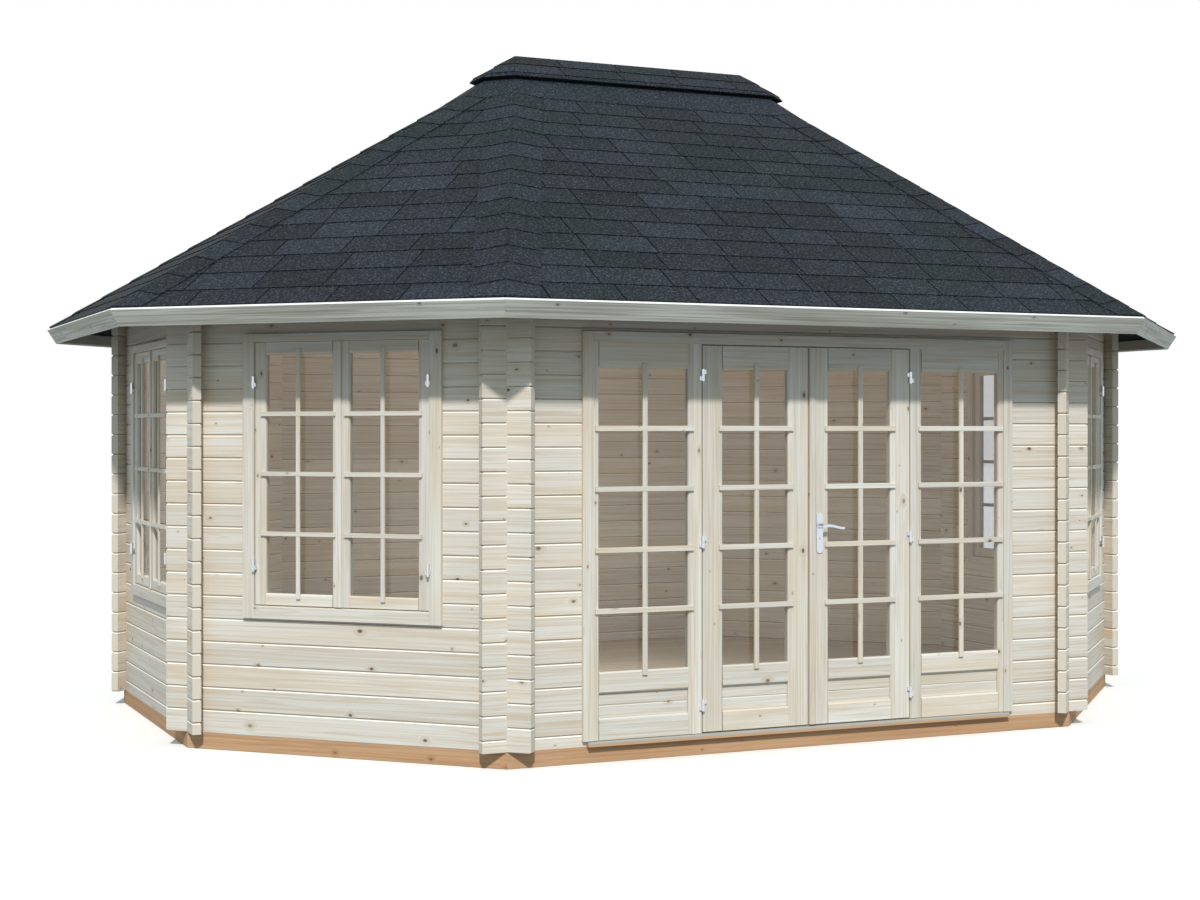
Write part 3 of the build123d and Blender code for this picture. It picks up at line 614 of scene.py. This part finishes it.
def deck_material():
    """Floor boards along the front."""
    made, w, shader = fresh_material("deck_boards")
    colour = board_colour(w, shader, w.place(), BOARD_WIDTH, tint("deck"))
    w.feed(shader, {"Base Color": colour})
    return made


def panel_material(wall):
    """Roof panel: boards over the room, dark felt on top, and near-black painted shade on the
    boards under the eaves.
    """
    made, w, shader = fresh_material("roof_boards_soffit_shade_" + wall)
    place = w.wall_place(wall)
    boards = board_colour(w, shader, place, BOARD_WIDTH * math.cos(PITCH), tint("log"))
    above = w.past(w.split(w.normal())[2], 0.0)
    face = wall_middle(wall).dot(wall_outward(wall))
    # Under the eaves, past the wall's face, the boards are painted near black as shade
    shaded_soffit = w.math("LESS_THAN", w.split(place)[1], -face)
    felt_and_shade = w.math("MAXIMUM", above, shaded_soffit)
    w.feed(shader, {"Base Color": w.mix(felt_and_shade, boards, FELT_AND_SHADE_COLOUR)})
    return made


def shingle_material():
    """Mineral shingles: a tone for each tab, tinted patches and granules."""
    made, w, shader = fresh_material("mineral_shingle")
    place, tone = w.place(), w.kept("tone")
    grit = w.noise(place, *GRIT_NOISE)
    blotch = w.noise(place, *BLOTCH_NOISE)
    patch = w.line(tone, TAB_SHARE, w.times(blotch, BLOTCH_SHARE))
    colour = w.mix(patch, tint("shingle_dark"), tint("shingle_light"))
    for value, stops, share, smooth, shade in (
            (w.noise(place, *TINT_NOISE), GREEN_RAMP, GREEN_SHARE, True, SHINGLE_GREEN),
            (blotch, VIOLET_RAMP, VIOLET_SHARE, True, SHINGLE_VIOLET),
            (grit, PIT_RAMP, PIT_SHARE, False, SHINGLE_PIT),
            (grit, FLECK_RAMP, FLECK_SHARE, False, SHINGLE_FLECK)):
        colour = w.mix(w.times(w.ramp(value, stops, smooth), share), colour, shade)
    colour = w.mix(1.0, colour, w.grey(w.line(tone, *TAB_LEVEL)), "MULTIPLY")
    w.feed(shader, {"Base Color": colour, "Roughness": SHINGLE_ROUGH,
                    "Specular IOR Level": SHINGLE_GLOSS})
    w.bump(shader, grit, *SHINGLE_BUMP)
    return made


def glass_material():
    """Clear float glass: mostly see-through, with a gloss and a faint smear."""
    made, w, shader = fresh_material("clear_pane")
    smear = w.noise(w.place(), *SMEAR_NOISE)
    w.feed(shader, {"Base Color": w.mix(smear, *PANE_COLOURS), "Alpha": PANE_ALPHA,
                    "Roughness": w.times(smear, SMEAR_ROUGH), "IOR": PANE_IOR})
    return made


def metal_material():
    """Bright metal with fine handling marks."""
    made, w, shader = fresh_material("bright_metal")
    marks = w.noise(w.place(), *METAL_NOISE)
    steel = tint("steel")
    w.feed(shader, {"Base Color": w.mix(marks, dimmed(steel, METAL_DIM), steel), "Metallic": 1.0,
                    "Roughness": w.line(marks, *METAL_ROUGH)})
    return made


def threshold_material():
    """Timber sill with a pale strip along its top."""
    made, w, shader = fresh_material("threshold_strip")
    place = w.place()
    marks = w.noise(w.scaled(place, STRIP_SCALE), *STRIP_NOISE)
    pale, brown = tint("sill"), tint("base")
    strip = w.mix(marks, dimmed(pale, STRIP_DIM), pale)
    wood = w.mix(marks, dimmed(brown, SILL_WOOD_DIM), brown)
    top = w.past(w.split(place)[2], STRIP_LOW)
    w.feed(shader, {"Base Color": w.mix(top, wood, strip), "Roughness": STRIP_ROUGH})
    return made


# Mesh helpers


def store(bm, mesh):
    """Write an edit into a mesh and let the edit go."""
    bm.to_mesh(mesh)
    bm.free()
    return mesh


def body_of_node(node):
    """Name of the CAD body that carries a node."""
    for body, nodes in FRAME["record"]["behaviour"]["bodies"].items():
        if node in nodes:
            return body
    raise RuntimeError("no body carries " + node)


def loose_parts(bm):
    """Lists of vertices that hang together."""
    bm.verts.ensure_lookup_table()
    seen = set()
    parts = []
    for first in bm.verts:
        if first.index in seen:
            continue
        seen.add(first.index)
        heap = [first]
        part = []
        while heap:
            vert = heap.pop()
            part.append(vert)
            for edge in vert.link_edges:
                other = edge.other_vert(vert)
                if other.index not in seen:
                    seen.add(other.index)
                    heap.append(other)
        parts.append(part)
    return parts


def mark_grain(bm, seed):
    """Keep grain coordinates and a tone on every loose member of a mesh."""
    chance = random.Random(seed)
    grain = bm.verts.layers.float_vector.new("grain")
    tone = bm.verts.layers.float.new("tone")
    bm.verts.index_update()
    for part in loose_parts(bm):
        points = np.array([v.co[:] for v in part])
        middle = points.mean(axis=0)
        spread = np.linalg.svd(points - middle, full_matrices=False)[2]
        shift = np.array([chance.uniform(0, most) for most in GRAIN_SHIFT])
        shade = chance.random()
        for vert, point in zip(part, (points - middle) @ spread.T + shift):
            vert[grain] = Vector(point)
            vert[tone] = shade


def finish_piece(name, mesh, body, material):
    """Object at the origin that rides on a body."""
    piece = bpy.data.objects.new(name, mesh)
    bpy.context.scene.collection.objects.link(piece)
    mesh.materials.clear()
    mesh.materials.append(material)
    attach(piece, body)
    return piece


def dress_members(node, material, seed):
    """Copy of a timber node whose members have grain and broken edges."""
    bm = bmesh.new()
    bm.from_mesh(FRAME["nodes"][node].data)
    bmesh.ops.remove_doubles(bm, verts=bm.verts, dist=MERGE)
    bmesh.ops.dissolve_limit(bm, angle_limit=FLAT_ANGLE, verts=bm.verts, edges=bm.edges)
    mark_grain(bm, seed)
    mesh = store(bm, bpy.data.meshes.new(node + "_dressed"))
    piece = finish_piece(node + "_dressed", mesh, body_of_node(node), material)
    edge = piece.modifiers.new("Broken edges", "BEVEL")
    edge.width = sizes().edge_round
    edge.segments = EDGE_SEGMENTS
    edge.limit_method = "ANGLE"
    edge.angle_limit = EDGE_ANGLE
    edge.use_clamp_overlap = True
    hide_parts(node)
    return piece


def paint_node(node, material):
    """Give a CAD node's object its material."""
    slots = FRAME["nodes"][node].material_slots
    if not slots:
        FRAME["nodes"][node].data.materials.append(material)
    for slot in slots:
        slot.material = material


def merge_meshes(name, meshes):
    """One mesh from several, which are removed."""
    bm = bmesh.new()
    for mesh in meshes:
        bm.from_mesh(mesh)
        bpy.data.meshes.remove(mesh)
    return store(bm, bpy.data.meshes.new(name))


def trim_mesh(mesh, point, normal):
    """Cut away what lies past a plane and close the cut."""
    bm = bmesh.new()
    bm.from_mesh(mesh)
    bmesh.ops.bisect_plane(bm, geom=bm.verts[:] + bm.edges[:] + bm.faces[:], dist=MERGE,
                           plane_co=point, plane_no=normal, clear_outer=True)
    rim = [edge for edge in bm.edges if edge.is_boundary]
    bmesh.ops.holes_fill(bm, edges=rim, sides=0)
    bmesh.ops.recalc_face_normals(bm, faces=bm.faces)
    store(bm, mesh)


# Geometry node trees


def new_tree(name, lengths, counts):
    """Geometry tree with lengths, counts and a finish as inputs; returns its wires and inputs."""
    tree = bpy.data.node_groups.new(name, "GeometryNodeTree")
    kinds = [(label, "Float") for label in lengths] + [(label, "Int") for label in counts]
    for label, kind in kinds + [("Finish", "Material")]:
        tree.interface.new_socket(label, in_out="INPUT", socket_type="NodeSocket" + kind)
    tree.interface.new_socket("Geometry", in_out="OUTPUT", socket_type="NodeSocketGeometry")
    w = Wires(tree)
    return w, w.put("NodeGroupInput").outputs


def realize(w, geometry):
    return w.put("GeometryNodeRealizeInstances", {0: geometry}).outputs[0]


def realize_toned(w, instances, seed):
    """Real geometry in which each instance keeps a chance tone."""
    shade = w.put("FunctionNodeRandomValue", {"Seed": seed}, data_type="FLOAT").outputs[1]
    keep = w.put("GeometryNodeStoreNamedAttribute", {
        "Geometry": instances, "Name": "tone", "Value": shade},
        data_type="FLOAT", domain="INSTANCE")
    return realize(w, keep.outputs[0])


def end_tree(w, geometry, material):
    """Give the geometry its material and hand it out."""
    done = w.put("GeometryNodeSetMaterial", {"Geometry": geometry, "Material": material})
    w.put("NodeGroupOutput", {0: done.outputs[0]})
    return w.tree


def run_tree(tree, values):
    """Plain mesh made by a tree with these input values."""
    holder = bpy.data.objects.new(tree.name, bpy.data.meshes.new(tree.name))
    bpy.context.scene.collection.objects.link(holder)
    step = holder.modifiers.new(tree.name, "NODES")
    step.node_group = tree
    for item in tree.interface.items_tree:
        if item.in_out == "INPUT" and item.name in values:
            step[item.identifier] = values[item.name]
    graph = bpy.context.evaluated_depsgraph_get()
    mesh = bpy.data.meshes.new_from_object(holder.evaluated_get(graph))
    holder.modifiers.remove(step)
    bpy.data.objects.remove(holder)
    return mesh


def bar_tree():
    """Glazing bars over one sheet of glass: X along, Y inwards, Z up."""
    w, get = new_tree("glazing_bars", ("Width", "Height", "Bar width", "Bar depth", "Lap"),
                      ("Columns", "Rows"))
    wide, deep = get["Bar width"], get["Bar depth"]
    both = w.put("GeometryNodeJoinGeometry")
    for count, span, across, upright in (
            (get["Columns"], get["Width"], get["Height"], True),
            (get["Rows"], get["Height"], get["Width"], False)):
        pitch = w.over(span, count)
        first = w.less(pitch, w.over(span, 2.0))
        half = w.over(deep, -2.0)
        long = w.add(across, w.times(get["Lap"], 2.0))
        if upright:
            start, step = w.vector(first, half), w.vector(pitch)
            size = w.vector(wide, deep, long)
        else:
            start = w.vector(0.0, w.times(half, CROSS_BAR_PROUD), first)
            step = w.vector(0.0, 0.0, pitch)
            size = w.vector(long, w.times(deep, CROSS_BAR_PROUD), wide)
        line = w.put("GeometryNodeMeshLine", {
            "Count": w.less(count, 1.0), "Start Location": start, "Offset": step}, mode="OFFSET")
        cube = w.put("GeometryNodeMeshCube", {"Size": size})
        spots = w.put("GeometryNodeInstanceOnPoints", {
            "Points": line.outputs["Mesh"], "Instance": cube.outputs["Mesh"]})
        w.feed(both, {0: spots.outputs[0]})
    return end_tree(w, realize(w, both.outputs[0]), get["Finish"])


def shingle_tree():
    """Rows of shingle tabs over a slope: X along the eave, Y up, Z out."""
    w, get = new_tree("shingle_rows", (
        "Eave half", "Ridge half", "Slope", "Row", "Tab", "Thickness"), ("Seed",))
    eave, row, tab, thick = get["Eave half"], get["Row"], get["Tab"], get["Thickness"]
    courses = w.math("CEIL", w.over(get["Slope"], row))
    columns = w.add(w.math("CEIL", w.over(w.times(eave, 2.0), tab)), SPARE_TABS)
    tall = w.times(w.less(courses, 1.0), row)
    grid = w.put("GeometryNodeMeshGrid", {
        "Size X": w.times(w.less(columns, 1.0), tab), "Size Y": tall,
        "Vertices X": columns, "Vertices Y": courses})
    # Each row slides by chance, so that its joints miss those of the next
    run, rise, off = w.split(w.put("GeometryNodeInputPosition").outputs[0])
    up = w.add(rise, w.over(tall, 2.0))
    dice = w.put("FunctionNodeRandomValue", {
        "ID": w.math("ROUND", w.over(up, row)), "Seed": get["Seed"]}, data_type="FLOAT")
    slide = w.times(w.times(w.less(dice.outputs[1], 0.5), ROW_SHIFT), tab)
    longer = w.times(row, TAB_LAP)
    move = w.put("GeometryNodeSetPosition", {
        "Geometry": grid.outputs["Mesh"],
        "Position": w.vector(w.add(run, slide), w.add(up, w.over(longer, 2.0)),
                             w.times(thick, TAB_LIFT))})
    # Tabs that lie wholly past a hip are dropped
    run, rise, off = w.split(w.put("GeometryNodeInputPosition").outputs[0])
    low = w.less(rise, w.over(longer, 2.0))
    hip = w.add(eave, w.times(w.over(low, get["Slope"]), w.less(get["Ridge half"], eave)))
    past = w.less(w.math("ABSOLUTE", run), w.add(hip, w.times(tab, TAB_PAST_HIP)))
    drop = w.put("GeometryNodeDeleteGeometry", {
        "Geometry": move.outputs[0], "Selection": w.past(past, 0.0)}, domain="POINT", mode="ALL")
    cube = w.put("GeometryNodeMeshCube", {"Size": w.vector(w.less(tab, TAB_GAP), longer, thick)})
    spots = w.put("GeometryNodeInstanceOnPoints", {
        "Points": drop.outputs[0], "Instance": cube.outputs["Mesh"],
        "Rotation": w.vector(w.over(thick, w.times(row, -1.0)))})
    tabs = realize_toned(w, spots.outputs[0], w.add(get["Seed"], TONE_SEED))
    return end_tree(w, tabs, get["Finish"])


def hip_tree():
    """Folded strips up a hip: X up the hip, Y across, Z out."""
    w, get = new_tree("hip_strips", ("Length", "Row", "Wing", "Fold", "Thickness"), ("Seed",))
    row, thick = get["Row"], get["Thickness"]
    longer = w.times(row, STRIP_LAP)
    wings = w.put("GeometryNodeJoinGeometry")
    for way in (-1.0, 1.0):
        wing = w.put("GeometryNodeMeshCube", {"Size": w.vector(longer, get["Wing"], thick)})
        slope = w.times(get["Fold"], -way)
        reach = w.times(get["Wing"], 0.5 * way)
        turn = w.put("GeometryNodeTransform", {
            "Geometry": wing.outputs["Mesh"],
            "Translation": w.vector(0.0, w.times(reach, w.math("COSINE", slope)),
                                    w.times(reach, w.math("SINE", slope))),
            "Rotation": w.vector(slope)})
        w.feed(wings, {0: turn.outputs[0]})
    line = w.put("GeometryNodeMeshLine", {
        "Count": w.math("CEIL", w.over(get["Length"], row)),
        "Start Location": w.vector(w.over(longer, 2.0), 0.0, w.times(thick, STRIP_LIFT)),
        "Offset": w.vector(row)}, mode="OFFSET")
    spots = w.put("GeometryNodeInstanceOnPoints", {
        "Points": line.outputs["Mesh"], "Instance": wings.outputs[0],
        "Rotation": w.vector(0.0, w.over(thick, row))})
    strips = realize_toned(w, spots.outputs[0], get["Seed"])
    # The last strip stops at the top of the hip
    up, across, out = w.split(w.put("GeometryNodeInputPosition").outputs[0])
    stop = w.put("GeometryNodeSetPosition", {
        "Geometry": strips,
        "Position": w.vector(w.math("MINIMUM", up, get["Length"]), across, out)})
    return end_tree(w, stop.outputs[0], get["Finish"])


# Roof lines


def roof_point(wall, end, reach, height):
    """Corner at one end of a wall with its face moved out, at a height."""
    run = wall_half(wall) + reach * HALF_TURN
    point = wall_middle(wall) + wall_along(wall) * end * run + wall_outward(wall) * reach
    return Vector((point.x, point.y, height))


def roof_strip(wall, section, shade):
    """Mitred strip along a slope, from a section of distances off the ridge and heights."""
    bm = bmesh.new()
    ends = []
    for end in (-1, 1):
        ends.append([bm.verts.new(roof_point(wall, end, off - HALF_DEPTH, height))
                     for off, height in section])
        bm.faces.new(ends[-1])
    for at in range(len(section)):
        bm.faces.new((ends[0][at - 1], ends[0][at], ends[1][at], ends[1][at - 1]))
    bmesh.ops.recalc_face_normals(bm, faces=bm.faces)
    tone = bm.verts.layers.float.new("tone")
    for vert in bm.verts:
        vert[tone] = shade
    return store(bm, bpy.data.meshes.new("roof_strip"))


def slope_normal(wall):
    return wall_outward(wall) * math.sin(PITCH) + UP * math.cos(PITCH)


def slope_matrix(wall, lift):
    """From eave run, distance up the slope and height off it to the cabin's frame."""
    along, normal = wall_along(wall), slope_normal(wall)
    start = wall_middle(wall) + wall_outward(wall) * OVERHANG + UP * EAVE + normal * lift
    turn = Matrix((along, normal.cross(along), normal)).transposed().to_4x4()
    return Matrix.Translation(start) @ turn


def slope_rows(tree, wall, reach, slope, row, low, seed, material):
    """Shingle rows on a wall's slope, trimmed to its hips, its ridge and its eave."""
    size = sizes()
    ridge = ridge_half(wall)
    eave = ridge + reach * HALF_TURN
    mesh = run_tree(tree, {
        "Eave half": eave, "Ridge half": ridge, "Slope": slope, "Row": row, "Tab": size.tab_width,
        "Thickness": size.shingle_thickness, "Seed": seed, "Finish": material})
    trim_mesh(mesh, Vector((0.0, low, 0.0)), Vector((0.0, -1.0, 0.0)))
    trim_mesh(mesh, Vector((0.0, slope, 0.0)), Vector((0.0, 1.0, 0.0)))
    for way in (-1.0, 1.0):
        normal = Vector((way * slope, eave - ridge, 0.0)).normalized()
        trim_mesh(mesh, Vector((way * eave, 0.0, 0.0)), normal)
    return mesh


def hip_mesh(tree, wall, seed, material):
    """Strips up the hip between a wall's slope and the next one."""
    size = sizes()
    walls = (wall, WALLS[(WALLS.index(wall) + 1) % len(WALLS)])
    foot = roof_point(wall, 1, OVERHANG, EAVE)
    top = Vector((math.copysign(HALF_STRETCH, foot.x), 0.0, APEX))
    up = (top - foot).normalized()
    sides = [slope_normal(name) for name in walls]
    out = (sides[0] + sides[1]).normalized()
    across = out.cross(up).normalized()
    mesh = run_tree(tree, {
        "Length": (top - foot).length, "Row": size.row_height * HIP_ROW, "Wing": size.hip_wing,
        "Fold": math.acos(max(-1.0, min(1.0, sides[0].dot(out)))),
        "Thickness": size.shingle_thickness, "Seed": seed, "Finish": material})
    turn = Matrix((up, across, out)).transposed().to_4x4()
    mesh.transform(Matrix.Translation(foot + out * (COVER_SINK + HIP_LIFT)) @ turn)
    for name in walls:
        downhill = wall_outward(name) * math.cos(PITCH) - UP * math.sin(PITCH)
        trim_mesh(mesh, foot - downhill * EAVE_SET, downhill)
    return mesh


def cap_sections():
    """Sections of the strip folded over the cap's edge and of the collar under it."""
    fall = math.tan(PITCH)
    edge = APEX + CAP_RISE / math.cos(PITCH) - CAP_REACH * fall
    fold_out, fold_end = CAP_REACH + CAP_FOLD_OUT, edge - CAP_FOLD_DOWN
    fold = ((CAP_REACH, edge), (CAP_REACH + CAP_SKIN, edge + CAP_SKIN),
            (fold_out + CAP_SKIN, fold_end + CAP_SKIN), (fold_out, fold_end))
    high, low = APEX - COLLAR_TOP * fall, APEX - COLLAR_FOOT * fall
    collar = ((COLLAR_TOP, high), (COLLAR_TOP, high + COLLAR_RISE),
              (COLLAR_FOOT, low + COLLAR_EDGE), (COLLAR_FOOT, low))
    return fold, collar


class GAZEBO_OT_dress_logs(Operator):
    """Give the log walls their planed, knotty timber"""

    bl_idname = "gazebo.dress_logs"
    bl_label = "Dress Logs"

    def execute(self, context):
        for wall in WALLS:
            timber = log_material(wall)
            for node in FRAME["nodes"]:
                if node.startswith(wall + "_wall"):
                    paint_node(node, timber)
        return {"FINISHED"}


class GAZEBO_OT_dress_members(Operator):
    """Give frames, doors, fascia, beams and floor their grain and broken edges"""

    bl_idname = "gazebo.dress_members"
    bl_label = "Dress Members"

    def execute(self, context):
        joinery = member_material("planed_joinery", tint("joinery"), JOINERY_ROUGH)
        brown = member_material("treated_beam", tint("base"), BEAM_ROUGH, BEAM_STREAK)
        rough = member_material("roof_timber", tint("log"), ROOF_TIMBER_ROUGH)
        # The eave boards' grey colour and streak are painted shade, and their top faces carry a
        # painted highlight
        eave = member_material("eave_boards_painted_light", tint("fascia"), TIMBER_ROUGH, EAVE_SHADED_STREAK, EAVE_TOP_HIGHLIGHT)
        for material, slot, seed, nodes in (
                (joinery, "joinery_timber", JOINERY_SEED, (
                    "window_frames", "window_casements", "door_jambs_and_posts", "door_head",
                    "side_lights", "left_door_leaf", "right_door_leaf", "meeting_strip")),
                (eave, "joinery_timber", EAVE_SEED, ("fascia_square", "fascia_diagonal")),
                (rough, "joinery_timber", ROOF_TIMBER_SEED, ("hip_rafters", "ridge_beam")),
                (brown, "base_timber", BASE_SEED, (
                    "ground_beams_square", "ground_beams_diagonal", "floor_joists"))):
            for at, node in enumerate(nodes):
                dress_members(node, material, seed + at)
        paint_node("floor_deck", deck_material())
        return {"FINISHED"}


class GAZEBO_OT_glaze(Operator):
    """Give the panes their glass and lay the glazing bars over them"""

    bl_idname = "gazebo.glaze"
    bl_label = "Glaze"

    def execute(self, context):
        pane = glass_material()
        for node in ("window_panes", "side_light_panes", "left_door_pane", "right_door_pane"):
            paint_node(node, pane)
        timber = member_material("bar_timber", tint("joinery"), JOINERY_ROUGH)
        tree = bar_tree()
        size = sizes()
        door = {"Bar width": size.bar_width, "Bar depth": size.bar_depth, "Lap": size.bar_lap,
                "Columns": PANE_COLUMNS, "Rows": size.door_rows, "Finish": timber}
        casement = dict(door, Rows=size.window_rows)
        casement["Bar width"] = size.window_bar_width

        def bars(values, wall, way, run, tall, face):
            mesh = run_tree(tree, dict(values, Width=run[1] - run[0], Height=tall[1] - tall[0]))
            middle = (way * sum(run) / 2, face, sum(tall) / 2)
            mesh.transform(wall_matrix(wall) @ Matrix.Translation(middle))
            return mesh

        pieces = []
        for name, body, way, run in (
                ("left_side_light_bars", "cabin", -1, SIDE_LIGHT_RUN),
                ("left_door_bars", "left_door", -1, DOOR_RUN),
                ("right_door_bars", "right_door", 1, DOOR_RUN),
                ("right_side_light_bars", "cabin", 1, SIDE_LIGHT_RUN)):
            pieces.append((name, body, bars(door, "front", way, run, DOOR_GLASS, LEAF_FACE)))
        for wall in WINDOW_WALLS:
            name = wall + "_window_bars"
            meshes = [bars(casement, wall, way, CASEMENT_RUN, CASEMENT_GLASS, CASEMENT_FACE)
                      for way in (-1, 1)]
            pieces.append((name, "cabin", merge_meshes(name, meshes)))
        for seed, (name, body, mesh) in enumerate(pieces, BAR_SEED):
            bm = bmesh.new()
            bm.from_mesh(mesh)
            bmesh.ops.bevel(bm, geom=bm.edges, offset=BAR_ROUND, segments=EDGE_SEGMENTS,
                            profile=BAR_PROFILE, affect="EDGES")
            mark_grain(bm, seed)
            finish_piece(name, store(bm, mesh), body, timber)
        return {"FINISHED"}


class GAZEBO_OT_lay_shingles(Operator):
    """Lay the shingle rows, the hip strips and the covering of the ridge cap"""

    bl_idname = "gazebo.lay_shingles"
    bl_label = "Lay Shingles"

    def execute(self, context):
        mineral = shingle_material()
        tabs, strips = shingle_tree(), hip_tree()
        paint_node("ridge_cap", mineral)
        for wall in WALLS:
            paint_node(wall + "_roof", panel_material(wall))
        for at, wall in enumerate(WALLS):
            mesh = slope_rows(tabs, wall, HALF_DEPTH + OVERHANG, SLOPE, sizes().row_height,
                              EAVE_SET, ROW_SEED + at * ROW_SEED_STEP, mineral)
            mesh.transform(slope_matrix(wall, COVER_SINK))
            finish_piece(wall + "_shingles", mesh, "cabin", mineral)
        meshes = [hip_mesh(strips, wall, seed, mineral)
                  for seed, wall in enumerate(WALLS, HIP_SEED)]
        hips = merge_meshes("hip_strips", meshes)
        finish_piece("hip_strips", hips, "cabin", mineral)
        # The cap has its rows on each slope, a strip folded over its edge and a collar under it
        meshes = []
        chance = random.Random(CAP_TONE_SEED)
        cap_slope = CAP_REACH / math.cos(PITCH)
        start = SLOPE - cap_slope + CAP_RISE * math.tan(PITCH)
        for at, wall in enumerate(WALLS):
            mesh = slope_rows(tabs, wall, CAP_REACH, cap_slope, cap_slope / CAP_ROWS, 0.0,
                              CAP_SEED + at * CAP_SEED_STEP, mineral)
            mesh.transform(slope_matrix(wall, CAP_RISE) @ Matrix.Translation((0.0, start, 0.0)))
            meshes.append(mesh)
            for section in cap_sections():
                meshes.append(roof_strip(wall, section, chance.random()))
        cap = merge_meshes("cap_shingles", meshes)
        finish_piece("cap_shingles", cap, "cabin", mineral)
        return {"FINISHED"}


class GAZEBO_OT_dress_metal(Operator):
    """Give hinges, handle and threshold their finish"""

    bl_idname = "gazebo.dress_metal"
    bl_label = "Dress Metal"

    def execute(self, context):
        bright = metal_material()
        for node in ("hinge_pins", "window_hinges", "left_door_hinges", "right_door_hinges",
                     "handle_plates", "lever"):
            paint_node(node, bright)
        paint_node("door_threshold", threshold_material())
        return {"FINISHED"}


class GAZEBO_OT_set_stage(Operator):
    """Add the pale floor, the soft light and the camera"""

    bl_idname = "gazebo.set_stage"
    bl_label = "Set Stage"

    def execute(self, context):
        scene = context.scene

        def link(name, data):
            made = bpy.data.objects.new(name, data)
            scene.collection.objects.link(made)
            return made

        bm = bmesh.new()
        bmesh.ops.create_grid(bm, x_segments=1, y_segments=1, size=FLOOR_SIZE)
        mesh = store(bm, bpy.data.meshes.new("stage_floor"))
        floor = link("stage_floor", mesh)
        floor.location.z = -FLOOR_DROP
        made, w, shader = fresh_material("pale_floor")
        w.feed(shader, {"Base Color": w.mix(w.seen_ray(), FLOOR_BOUNCE, FLOOR_SEEN),
                        "Roughness": FLOOR_ROUGH})
        mesh.materials.append(made)

        world = bpy.data.worlds.new("studio")
        scene.world = world
        world.use_nodes = True
        world.node_tree.nodes.clear()
        w = Wires(world.node_tree)
        soft = w.put("ShaderNodeBackground", {"Color": SKY_COLOUR, "Strength": SKY_POWER})
        white = w.put("ShaderNodeBackground", {"Color": WHITE, "Strength": 1.0})
        mixed = w.put("ShaderNodeMixShader", {
            0: w.seen_ray(), 1: soft.outputs[0], 2: white.outputs[0]})
        w.put("ShaderNodeOutputWorld", {0: mixed.outputs[0]})

        lamp = bpy.data.lights.new("key_light", "SUN")
        lamp.energy = SUN_POWER
        lamp.angle = SUN_SPREAD
        lamp.color = SUN_COLOUR
        key = link("key_light", lamp)
        level = math.cos(SUN_HEIGHT)
        ray = Vector((math.sin(SUN_SIDE) * level, math.cos(SUN_SIDE) * level,
                      -math.sin(SUN_HEIGHT)))
        key.rotation_euler = ray.to_track_quat("-Z", "Y").to_euler()

        lamp = bpy.data.lights.new("room_light", "POINT")
        lamp.energy = ROOM_POWER
        lamp.shadow_soft_size = ROOM_SOFTNESS
        lamp.color = ROOM_COLOUR
        room = link("room_light", lamp)
        room.location = ROOM_PLACE
        room.visible_camera = False
        room.visible_glossy = False
        room.visible_transmission = False

        lens = bpy.data.cameras.new("view_camera")
        lens.sensor_width = CAMERA_SENSOR
        lens.lens = CAMERA_LENS
        lens.shift_y = CAMERA_SHIFT
        lens.clip_end = CAMERA_FAR
        camera = link("view_camera", lens)
        camera.location = CAMERA_PLACE
        camera.rotation_euler = CAMERA_TURN
        scene.camera = camera
        scene.view_settings.view_transform = "Standard"
        return {"FINISHED"}


class GAZEBO_PT_panel(Panel):
    """Lists the steps that dress the cabin"""

    bl_idname = "GAZEBO_PT_panel"
    bl_label = "Log Cabin Gazebo"
    bl_space_type = "VIEW_3D"
    bl_region_type = "UI"
    bl_category = "Gazebo"

    def draw(self, context):
        layout = self.layout
        for step in STEPS:
            layout.operator(step.bl_idname)
        for group in (context.scene.gazebo_sizes, context.scene.gazebo_colours):
            box = layout.box()
            for label in group.__annotations__:
                box.prop(group, label)


STEPS = (
    GAZEBO_OT_set_stage,
    GAZEBO_OT_dress_logs,
    GAZEBO_OT_dress_members,
    GAZEBO_OT_glaze,
    GAZEBO_OT_lay_shingles,
    GAZEBO_OT_dress_metal,
)
CLASSES = (GazeboSizes, GazeboColours) + STEPS + (GAZEBO_PT_panel,)


def register():
    for cls in CLASSES:
        bpy.utils.register_class(cls)
    bpy.types.Scene.gazebo_sizes = PointerProperty(type=GazeboSizes)
    bpy.types.Scene.gazebo_colours = PointerProperty(type=GazeboColours)


def unregister():
    del bpy.types.Scene.gazebo_colours
    del bpy.types.Scene.gazebo_sizes
    for cls in reversed(CLASSES):
        bpy.utils.unregister_class(cls)


def main():
    register()
    bpy.ops.gazebo.set_stage()
    bpy.ops.gazebo.dress_logs()
    bpy.ops.gazebo.dress_members()
    bpy.ops.gazebo.glaze()
    bpy.ops.gazebo.lay_shingles()
    bpy.ops.gazebo.dress_metal()


if __name__ == "__main__":
    main()
